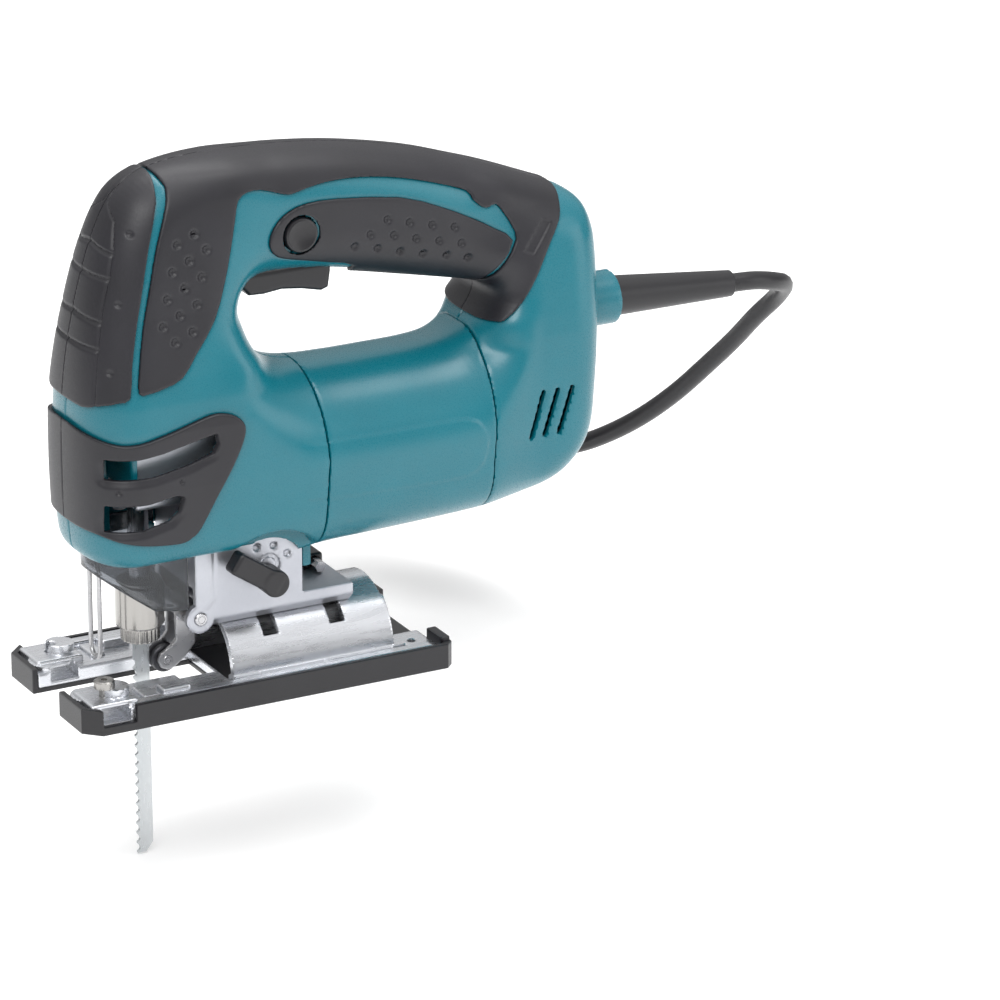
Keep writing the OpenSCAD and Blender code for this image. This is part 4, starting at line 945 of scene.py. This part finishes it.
def bumper_relief(x, y, z):
    """Four tiles down the nose, parted by grooves that droop to a ridge on each side."""
    ridge = np.interp(z, RIDGE_Z, RIDGE_Y)
    share = np.clip(np.abs(y) / np.maximum(ridge, 1), 0, 1)
    made = 0.0
    for middle, edge in ((180.8, 178.7), (170, 169.9), (155.3, 153.8), (144.5, 144)):
        made = made + 0.8 * np.exp(-((z - middle - (edge - middle) * share) / 0.7) ** 2) * smooth(
            (ridge + 0.6 - np.abs(y)) / 1.2)
    made = made + 0.55 * np.exp(-((np.abs(y) - ridge) / 0.5) ** 2)
    for px, py, pz in ((-45.3, -15.2, 186), (-52.2, -18.8, 161.3), (-57.3, -21.5, 136.3)):
        made = made + 0.7 * np.exp(-(np.hypot(np.hypot(x - px, z - pz),
                                              0.6 * (np.abs(y) + py)) / 1.5) ** 4)
    return made


def vent_relief(x, y, z):
    """The cover dips under each window, and has two small pips between them."""
    dip = 0.0
    for w, drop_z in zip(WINDOWS, (97, 76)):
        near = polygon_distance(x, z, w)
        dip = dip + 1.1 * smooth(1 - np.maximum(near, 0) / 3.5) * smooth((drop_z + 6 - z) / 6)
    pips = pits(x, z, [(-57.5, 91), (-33.5, 92.5)], 0.9, 0.7)
    return dip + pips


def window_cut(x, y, z):
    """The windows, widening a little outward."""
    d = body(x, y, z)
    return windows(x, z, 0.0) - 0.5 * np.clip(d, -0.4, 2)


def pad_relief(x, y, z):
    """The dimples under the palm."""
    return pits(x, z, PAD_DIMPLES, 1.5, 1.0)


def lock_hole(x, y, z):
    """The round opening for the lock button."""
    return rod_field(x - LOCK_X, z - LOCK_Z, 7.8, y, -60, 60)


def dial_hole(x, y, z):
    """The dial's slot, on the side that is mirrored."""
    return rod_field(x - DIAL_X, y + DIAL_Y, 12.7, z, 139.2, 146.8)


# %% Making the skins
GRIP_BOX = ((-54, -31, 124), (154, 1, 212))
PAD_BOX = ((4, -31, 132), (116, -5, 194))
left_grip = surface_net("grip_left", skin_field(GRIP, 1.2, relief=grip_relief), *GRIP_BOX, 0.6)
right_grip = mirrored(surface_net("grip", skin_field(GRIP, 1.2, relief=grip_relief, opening=dial_hole),
                                  *GRIP_BOX, 0.6), "grip_right")
left_pad = surface_net("handle_pad_left", skin_field(PAD, 1.2, 7, relief=pad_relief, opening=lock_hole),
                       *PAD_BOX, 0.55)
right_pad = mirrored(surface_net("pad", skin_field(PAD, 1.2, 7, relief=pad_relief), *PAD_BOX, 0.55),
                     "handle_pad_right")
left_bumper = surface_net("bumper_left", skin_field(BUMPER, 1.8, 0.12, relief=bumper_relief),
                          (-72, -32, 118), (-28, 1, 210), 0.5)
left_vent = surface_net("vent_cover_left",
                        skin_field(VENT, 1.8, 0.12, relief=vent_relief, opening=window_cut),
                        (-72, -36, 62), (-2, 1, 122), 0.5)
place(left_grip, "grip_left")
place(right_grip, "grip_right")
place(left_pad, "handle_pad_left")
place(right_pad, "handle_pad_right")
place(left_bumper, "bumper_left")
place(mirrored(left_bumper, "bumper_right"), "bumper_right")
place(left_vent, "vent_cover_left")
place(mirrored(left_vent, "vent_cover_right"), "vent_cover_right")


# %% [markdown]
# ## Gear case, leg and foot
#
# One casting holds the rod guides, the gears and both bearings, and ends in the foot that
# rides on the bevel tunnel.

# %% Gear case
SADDLE_Z, SADDLE_R = 6.0, 24.6


def gear_case_field(x, y, z):
    """The casting: chamber, tower, leg, foot and the lug that carries the roller's fork."""
    case = box_field(x, y, z, (-48, -22.5, 80), (-1, 22.5, 132.9), 1.2)
    tower = box_field(x, y, z, (-45.5, -8, 131), (-29.5, 8, 144.9), 1.0)
    neck = box_field(x, y, z, (-22.3, -18, 59), (-1, 18, 82), 1.0)
    corner = np.hypot(np.maximum(x - 12.5, 0), np.maximum(z - 51, 0)) - 10
    profile = np.maximum(corner, np.maximum(x - 22.5, z - 61))
    leg = soft_max(profile, np.maximum(np.abs(y) - 18, np.maximum(-22.3 - x, 26 - z)), 0.8)
    foot = box_field(x, y, z, (-12, -18, 20), (44, 18, 34), 0.8)
    skirt = (np.abs(y) - 14.3) - (z - 26)
    lug = rod_field(x - FORK_X, z - FORK_Z, 5.7, y, -18, 18)
    f = join(case, tower, neck, soft_max(join(leg, foot), skirt / 1.4, 0.4), lug)
    hollow = join(
        box_field(x, y, z, (-45, -19.5, 90.5), (-11, 19.5, 129.9), 1.0),
        rod_field(y, z - MOTOR_Z, 5.6, x, -22.5, -10), rod_field(y, z - MOTOR_Z, 9.5, x, -8, 0),
        rod_field(y, z - MOTOR_Z, 5.5, x, -11, 0), rod_field(y, z - 110.325, 8.5, x, -12, -4),
        rod_field(x - ROD_X, y, 6.5, z, 79, 91.5), rod_field(x - ROD_X, y, 6.5, z, 129, 146),
        box_field(x, y, z, (-14.3, -12, 37), (17.5, 12, 58), 1.0),
        box_field(x, y, z, (-28.3, -15, 20), (-14.3, 15, 42), 0.5),
        rod_field(x - FORK_X, z - FORK_Z, 2.5, y, -20, 20),
        rod_field(x - LEVER_X, z - LEVER_Z, 3.05, y, -20, -11),
        rod_field(y, z - SADDLE_Z, SADDLE_R, x, -30, 60),
        box_field(x, y, z, (-40, -14, -10), (60, 14, 22)),
        rod_field(x - 8, y, 2.5, z, 20, 33.4), rod_field(x - 36, y, 2.5, z, 20, 33.4))
    for s in (-1, 1):
        hollow = join(hollow, rod_field(y - s * 18.5, z - 127.9, 2, x, -49, -36))
    for k in range(4):
        a = math.radians(139 - 34 * k)
        dot_x, dot_z = x - LEVER_X - 12 * math.cos(a), z - LEVER_Z - 12 * math.sin(a)
        hollow = join(hollow, np.sqrt(dot_x ** 2 + dot_z ** 2 + (y + 18.5) ** 2) - 1.75)
    ring = np.maximum(np.abs(np.hypot(x - 8.1, z - 46.9) - 4.2) - 0.8, np.maximum(-18.5 - y, y + 17))
    line = np.maximum(line_distance(x, z, [(-14.5, 61), (-14.5, 38), (-18.5, 34)]) - 0.35,
                      17.5 - np.abs(y))
    return cut(f, hollow, ring, line)


place(surface_net("gear_case", gear_case_field, (-50, -24, 18), (46, 24, 147), 0.66, 32),
      "gear_housing")


# %% [markdown]
# ## Hex key and clip
#
# The key for the sole's bolts is stored in a spring clip behind the foot. The key is a
# six-sided wire bent once, and the clip is a block bored to hold it.

# %% Hex key and clip
def clip_field(x, y, z):
    """A black spring clip round the stored key."""
    f = box_field(x, y, z, (33, 2, 34), (41, 14, 40), 1.2)
    return cut(f, rod_field(x - 37, z - 36.7, 2.45, y, 0, 20))


key_line = open_curve([(37, -4, 36.7), (37, 8, 36.7), (37, 17, 36.7), (36.2, 20.6, 36.7),
                       (33.5, 21.7, 36.7),
                       (28, 21.7, 36.7)], 5)
place(wire("hex_key", key_line, 2.25, 6), "hex_key", look="bearing_steel")
clip = surface_net("key_clip", clip_field, (31, 0, 32), (43, 16, 42), 0.4)
place(clip, "hex_key", look="black_plastic")


# %% [markdown]
# ## Sole plate and cover
#
# The sole is pressed from sheet, with a round tunnel on which the foot tilts, and a dark
# cover wraps its underside. Both are fields made from one plan outline, so their edges
# stay parallel. Using |y| draws both sides at once.

# %% Sole plate
def outline_field(x, y, inset, corner):
    """The sole's plan: a rectangle with bevelled corners, smaller by inset."""
    a, b = 77 - inset, 38.5 - inset
    f = np.maximum(np.abs(x) - a, np.abs(y) - b)
    f = np.maximum(f, (-(x + a) + np.abs(y) - b + corner) * 0.7071)
    return np.maximum(f, (x - a + np.abs(y) - b + corner / 2) * 0.7071)


def sole_field(x, y, z):
    """The pressed plate with its bevel tunnel, rails, pads and fence bosses."""
    b = np.abs(y)
    f = np.maximum(outline_field(x, y, 2.5, 5), np.maximum(2 - z, z - 7.8))
    f = np.maximum(f, x - 73)
    tunnel = np.maximum(rod_field(y, z - 6, 24.3, x, -10, 58), 2 - z)
    ribs = join(box_field(x, b, z, (-57, 31, 6), (69, 36, 9.8), 0.7),
                box_field(x, b, z, (-25, 26.2, 6), (0, 27.8, 8.7), 0.5),
                box_field(x, b, z, (27, 26.2, 6), (59, 27.8, 8.7), 0.5),
                box_field(x, b, z, (-42.5, 24, 6), (-31, 31, 11), 0.8),
                rod_field(x + 60, b - 25, 5.6, z, 6, 14),
                box_field(x, b, z, (-73.2, 16, 6), (-54, 34, 10.8), 1.0),
                box_field(x, b, z, (-50, 18, 6), (-44, 30, 9.2), 0.8))
    lobe = rod_field(x + 66.5, b - 19.5, 8.4, z, 5, 9.8)
    f = join(f, tunnel, soft_max(ribs, -z, 0.1), lobe)
    hollow = join(
        rod_field(y, z - 6, 21.3, x, -11, 59), box_field(x, y, z, (-10, -21.3, -1), (58, 21.3, 6)),
        box_field(x, y, z, (-90, -12, -5), (-12, 12, 40)),
        box_field(x, y, z, (57, -14, -5), (90, 14, 40)),
        box_field(x, y, z, (-29, -32, 5.8), (-11, 32, 30)),
        box_field(x, b, z, (-69.5, 10, 3.6), (-58, 60, 9), 0.4),
        rod_field(x + 64, b - 25, 2.1, z, 8, 30), rod_field(x - 66, b - 23, 1.6, z, 0, 30),
        box_field(x, b, z, (56, 25, 4.8), (62, 29, 30), 0.3))
    for place_x in (8, 36):
        hollow = join(hollow, np.maximum(np.abs(x - place_x) - 3.2, np.maximum(b - 19.4, 6 - z)))
    return cut(f, hollow)


def cover_field(x, y, z):
    """The dark cover that wraps the sole's underside and edges."""
    b = np.abs(y)
    floor_part = np.maximum(outline_field(x, y, 0, 6), np.maximum(-z, z - 2))
    wall = np.maximum(outline_field(x, y, 0, 6), np.maximum(-z, z - 10))
    wall = cut(wall, np.maximum(outline_field(x, y, 2.3, 5), 2 - z),
               box_field(x, y, z, (-70.5, -60, 3.4), (-57, 60, 40)),
               box_field(x, y, z, (72, -22, 2), (90, 22, 40)))
    ears = box_field(x, b, z, (73, 22, 0), (77, 34, 11.3), 0.4)
    f = soft_max(join(floor_part, wall, ears), -z, 0.6)
    f = cut(f, box_field(x, y, z, (-90, -12, -5), (-12, 12, 40)))
    return cut(f, rod_field(x - 8, y, 4.6, z, -2, 12), rod_field(x - 36, y, 4.6, z, -2, 12))


place(surface_net("sole_plate", sole_field, (-77, -39, 0), (77, 39, 34), 0.56, 30), "base_plate",
      finish=POLISHED)
place(surface_net("sole_cover", cover_field, (-79, -40, -2), (79, 40, 13), 0.56, 30), "base_cover")
screw = joined("fence_screw",
               lathe("head", [(0, 16.3), (1.2, 16.3), (1.2, 17.0), (3.4, 17.0), (4, 16.4), (4, 14.0),
                              (2.1, 14.0),
                              (2.1, 9.4), (0, 9.4)], (-64, -25, 0), (0, 0, 1), 40))
place(screw, "base_screws")


# %% [markdown]
# ## Orbit lever
#
# A moulded lever beside the leg turns the cam behind the blade. Its hub and arm are joined
# with a fillet, as the mould would leave it.

# %% Orbit lever
def lever_field(x, y, z):
    """A hub with a thick arm of even section and a squared end."""
    a = math.radians(146)
    u, w = x - LEVER_X, z - LEVER_Z
    along, across = u * math.cos(a) + w * math.sin(a), w * math.cos(a) - u * math.sin(a)
    hub = soft_max(np.hypot(u, w) - 5.3, np.abs(y + 23.8) - 5.5, 1.2)
    arm = box_field(along, y, across, (-2, -29.3, -4.4), (20.3, -21.8, 4.4), 1.6)
    return soft_min(hub, arm, 1.0)


place(surface_net("orbit_lever", lever_field, (-14, -31, 36), (14, -17, 58), 0.4), "orbit_lever")

# %% [markdown]
# ## Trigger, lock button and dial
#
# The trigger is an outline with eased edges under a square slide, the button is turned
# with a sunk face, and the dial's notches come from a cosine of the angle.

# %% Trigger, lock button, dial
TRIGGER = np.array([(3.5, 160.5), (3.5, 155.5), (7, 151.5), (13, 151.2), (20.5, 152), (29, 150.9),
                    (37, 149), (40, 150),
                    (41, 156.5), (41, 160.5)])


def trigger_field(x, y, z):
    """The finger trigger: a hollowed outline with rounded edges, under a square slide."""
    shape = soft_max(polygon_distance(x, z, TRIGGER), np.abs(y) - 8, 2.2)
    slide = box_field(x, y, z, (4.5, -8, 160), (38, 8, 163.5), 0.4)
    return join(shape, slide)


place(surface_net("trigger", trigger_field, (1, -10, 146), (44, 10, 166), 0.4), "trigger")
button = lathe("lock_button", [(0, -12.5), (6.8, -12.5), (6.8, -19.2), (6.4, -19.9), (5.6, -20.2),
                               (4.6, -19.8), (2.5, -19.3),
                               (0, -19.2)], (LOCK_X, 0, LOCK_Z), (0, 1, 0), 64)
place(button, "lock_button")


def dial_field(x, y, z):
    """A thumb wheel with twenty-four rounded notches."""
    a = np.arctan2(y - DIAL_Y, x - DIAL_X)
    r = np.hypot(x - DIAL_X, y - DIAL_Y)
    rim = soft_max(r - 11.9 + 0.35 * (1 + np.cos(24 * a)), np.abs(z - DIAL_Z) - 3.5, 0.8)
    return cut(rim, r - 2)


place(surface_net("speed_dial", dial_field, (108, 1, 138), (136, 29, 148), 0.4), "speed_dial")


# %% [markdown]
# ## Blade clamp and blade
#
# The sleeve turns round the clamp to free the blade. Both are rings about the rod's axis,
# with a fluted collar. The blade is a flat strip, and one loop cuts its teeth.

# %% Blade clamp and blade
def sleeve_field(x, y, z):
    """The quick-release sleeve with one flat, its edges eased."""
    r = np.hypot(x - ROD_X, y)
    f = soft_max(r - 9.4, np.abs(z - 34.5) - 8.5, 0.7)
    a = math.radians(-42)
    u = (x - ROD_X) * math.cos(a) + y * math.sin(a)
    f = cut(f, soft_max(8.7 - u, z - 39, 0.2))
    return cut(f, r - 6.05)


place(surface_net("clamp_sleeve", sleeve_field, (-49, -11, 24), (-26, 11, 45), 0.35), "clamp_sleeve")


def clamp_field(x, y, z):
    """The clamp body inside the sleeve, its fluted collar below and its rim above."""
    a = np.arctan2(y, x - ROD_X)
    r = np.hypot(x - ROD_X, y)
    core = np.maximum(r - 6, np.abs(z - 31.6) - 11.6)
    collar = soft_max(r - 7.3 + 0.22 * np.cos(24 * a), np.abs(z - 22.9) - 2.9, 0.6)
    rim = soft_max(r - 8.4, np.abs(z - 43.95) - 0.75, 0.4)
    f = join(core, collar, rim)
    return cut(f, rod_field(x - ROD_X, y, 4, z, 36, 50),
               box_field(x, y, z, (-40.75, -0.65, 10), (-34.25, 0.65, 35.5)))


place(surface_net("blade_clamp", clamp_field, (-47, -10, 18), (-28, 10, 46), 0.35), "blade_clamp")
front, rear = -40.75, -34.25
teeth = [(front, 35), (front, 12.4)]
for k in range(20):
    z = 12 - 4 * k
    teeth += [(front, z - 0.2), (front + 0.9, z - 1.2), (front + 1.15, z - 2.2), (front + 0.8, z - 2.9),
              (front, z - 3.4)]
teeth += [(front, -68), (rear - 3, -68), (rear, -64), (rear, 35)]
place(plate("blade", teeth, -0.65, 0.65), "blade")


# %% [markdown]
# ## Back roller
#
# A grooved roller in a fork holds the back of the blade. The cheeks are cut to one outline,
# and the roller and its pins are turned.

# %% Back roller
FORK = np.array([(-24.8, 31), (-16.1, 31), (-16.4, 22), (-16.9, 16), (-20.5, 11.8), (-25.5, 7.8),
                 (-28.5, 7.0),
                 (-31.2, 8.2), (-32.6, 11), (-31.5, 14), (-27, 16.6), (-24.9, 19)])


def fork_field(x, y, z):
    """Two boot-shaped cheeks, a bridge and the hub that turns on the cross pin."""
    b = np.abs(y)
    hub = rod_field(x - FORK_X, z - FORK_Z, 4.5, y, -14.7, 14.7)
    cheeks = soft_max(polygon_distance(x, z, FORK), np.abs(b - 4.3) - 0.9, 0.5)
    bridge = box_field(x, y, z, (-21.4, -3.9, 19), (-16.8, 3.9, 27.5), 0.5)
    return cut(join(hub, cheeks, bridge), rod_field(x - FORK_X, z - FORK_Z, 2.55, y, -20, 20),
               rod_field(x - ROLLER_X, z - ROLLER_Z, 2, y, -10, 10))


place(surface_net("roller_fork", fork_field, (-35, -16, 5), (-14, 16, 37), 0.4), "roller_fork")
roller = lathe("roller", [(2.05, -3), (5.0, -3), (5.5, -2.6), (5.5, -1.1), (4.7, -0.8), (4.7, 0.8),
                          (5.5, 1.1), (5.5, 2.6),
                          (5.0, 3), (2.05, 3)], (ROLLER_X, 0, ROLLER_Z), (0, 1, 0), 64, closed=True)
place(roller, "roller", look="dark_fasteners")


def pin(name, node, x, z, r, half):
    """A cross pin with a small bevel and a sunk ring on each end."""
    shape = [(0, -half), (0.45 * r, -half), (0.5 * r, -half + 0.25), (0.62 * r, -half + 0.25),
             (0.68 * r, -half),
             (r - 0.3, -half), (r, -half + 0.3)]
    shape += [(a, -t) for a, t in shape[::-1]]
    place(lathe(name, shape, (x, 0, z), (0, 1, 0), 48), node)


pin("roller_pin", "roller_pin", ROLLER_X, ROLLER_Z, 2, 5.2)
pin("fork_pin", "fork_pin", FORK_X, FORK_Z, 2.5, 18.4)

# %% [markdown]
# ## Wire guard and chip cover
#
# The guard is one bent wire in front of the blade. The clear cover is a thin wall, round in
# front, with a bead along its lower edge that stiffens it.

# %% Wire guard and chip cover
bow = [(-56, 4.25 * math.cos(t), 20.25 - 4.25 * math.sin(t)) for t in np.linspace(0, math.pi, 17)]
guard = joined("wire_guard", wire("wire", [(-48, 4.25, 84), (-54.6, 4.25, 84), (-55.6, 4.25, 83.6),
                                           (-56, 4.25, 82.6),
                                          (-56, 4.25, 50), *bow, (-56, -4.25, 50), (-56, -4.25, 82.6),
                                          (-55.6, -4.25, 83.6), (-54.6, -4.25, 84), (-48, -4.25, 84)],
                                          0.9, 16))
place(guard, "wire_guard")
CHIP_LOW = np.array([(-90, 58), (-71, 58), (-60, 52.5), (-50, 45), (-38.5, 36.5), (-30, 34.8),
                     (-19.3, 34), (0, 34),
                     (0, 90), (-90, 90)])


def chip_field(x, y, z):
    """A clear wall, round in front, with an eased lower edge and a stiffening bead."""
    plan = np.where(x < -44, np.hypot(x + 44, y) - 16, np.abs(y) - 16)
    bead = 0.5 * np.exp(-((polygon_distance(x, z, CHIP_LOW) + 1.2) / 0.9) ** 2)
    f = np.maximum(np.abs(plan + 0.9) - 0.9 - bead * (plan < -0.9), np.maximum(x + 24.3, z - 66))
    return soft_max(f, polygon_distance(x, z, CHIP_LOW), 0.5)


place(surface_net("chip_cover", chip_field, (-62, -18, 31), (-22, 18, 68), 0.45), "chip_cover")

# %% [markdown]
# ## Strain relief
#
# A soft sleeve keeps the lead from kinking. Its first part is straight in the shell, and
# the rest tapers and dips a little under the lead's weight.

# %% Strain relief
shape = [(3.9, -12), (8, -12), (8, 14)]
shape += [(8 - 2.8 * (t - 14) / 54, t) for t in range(18, 67, 6)] + [(5.2, 67.6), (4.8, 68), (3.9, 68)]
straight = lathe("strain_relief", [(r, t) for r, t in shape if t <= 14] + [(3.9, 14)],
                 (RELIEF_X, 0, RELIEF_Z), (1, 0, 0), 48,
                 closed=True)
tapered = lathe("relief_cone", [(3.9, 14)] + [(r, t) for r, t in shape if t >= 14],
                (RELIEF_X, 0, RELIEF_Z),
                (math.cos(RELIEF_DIP), 0, -math.sin(RELIEF_DIP)), 48, closed=True)
tapered.data.transform(Matrix.Translation((0, 0, RELIEF_STRAIGHT * math.sin(RELIEF_DIP) * MM)))
place(joined("strain_relief", straight, tapered), "cord_guard")

# %% [markdown]
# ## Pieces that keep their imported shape
#
# The motor, the gears and the other inner pieces are hardly seen, so they keep the shape
# that they were packed with and take a look and smooth shading.

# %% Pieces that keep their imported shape
SHOWN = {n for o in bpy.data.objects for n in (o.get("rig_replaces") or [])}
for name, obj in nodes.items():
    if name in SHOWN:
        continue
    obj.data.materials.clear()
    obj.data.materials.append(LOOKS[SLOT_OF[name]])
    obj.data.shade_smooth()
    obj.data.set_sharp_from_angle(angle=math.radians(32))
print(f"{len(SHOWN)} nodes redrawn, {len(nodes) - len(SHOWN)} keep their packed shape")


# %% [markdown]
# ## Bench and light
#
# A pale bench under the blade's tip, a broad key light from the upper left, a long strip
# from above the handle and a weak fill from the right.

# %% Stage
def area(name, place_at, aim, size, power, colour=(1, 1, 1)):
    """A rectangular light aimed at a point."""
    data = bpy.data.lights.new(name, "AREA")
    data.shape = "RECTANGLE"
    data.size, data.size_y = size
    data.energy = power
    data.color = colour
    obj = bpy.data.objects.new(name, data)
    obj.location = place_at
    obj.rotation_mode = "QUATERNION"
    obj.rotation_quaternion = (Vector(aim) - Vector(place_at)).to_track_quat("-Z", "Y")
    scene.collection.objects.link(obj)
    return obj


HALF, THICK = 4000, 10
corners = [(-HALF, -HALF), (HALF, -HALF), (HALF, HALF), (-HALF, HALF)]
bench = faces_object("bench", [(x, y, z) for z in (BENCH_Z, BENCH_Z - THICK) for x, y in corners],
                     [[0, 1, 2, 3], [7, 6, 5, 4], [0, 4, 5, 1], [1, 5, 6, 2], [2, 6, 7, 3],
                      [3, 7, 4, 0]])
bench.data.materials.append(material("pale bench", moulded, (250, 250, 250), (253, 253, 253), 0.3, 0.7,
                                     300, 0.02,
                                    Emission_Color=(1.0, 1.0, 1.0, 1.0), Emission_Strength=0.12))
scene.collection.objects.link(bench)
area("key", (-0.9, -1.1, 1.5), (0.03, 0, 0.08), (1.1, 0.9), 18)
area("top strip", (0.3, 0.1, 1.5), (0.04, 0, 0.1), (1.6, 0.5), 13)
area("fill", (1.4, -1.2, 0.5), (0.04, 0, 0.08), (1.0, 1.0), 6)
world = bpy.data.worlds.new("studio")
world.use_nodes = True
tree, wire_up = world.node_tree.nodes, world.node_tree.links.new
sky = tree["Background"]
sky.inputs["Color"].default_value = (1.0, 1.0, 1.0, 1.0)
aim = tree.new("ShaderNodeTexCoord")
parts = tree.new("ShaderNodeSeparateXYZ")
height = tree.new("ShaderNodeMapRange")
height.inputs["From Min"].default_value = 0.0
height.inputs["From Max"].default_value = 0.7
height.inputs["To Min"].default_value = 0.22
height.inputs["To Max"].default_value = 1.1
wire_up(aim.outputs["Generated"], parts.inputs["Vector"])
wire_up(parts.outputs["Z"], height.inputs["Value"])
wire_up(height.outputs["Result"], sky.inputs["Strength"])
scene.view_settings.view_transform = "Standard"
scene.world = world
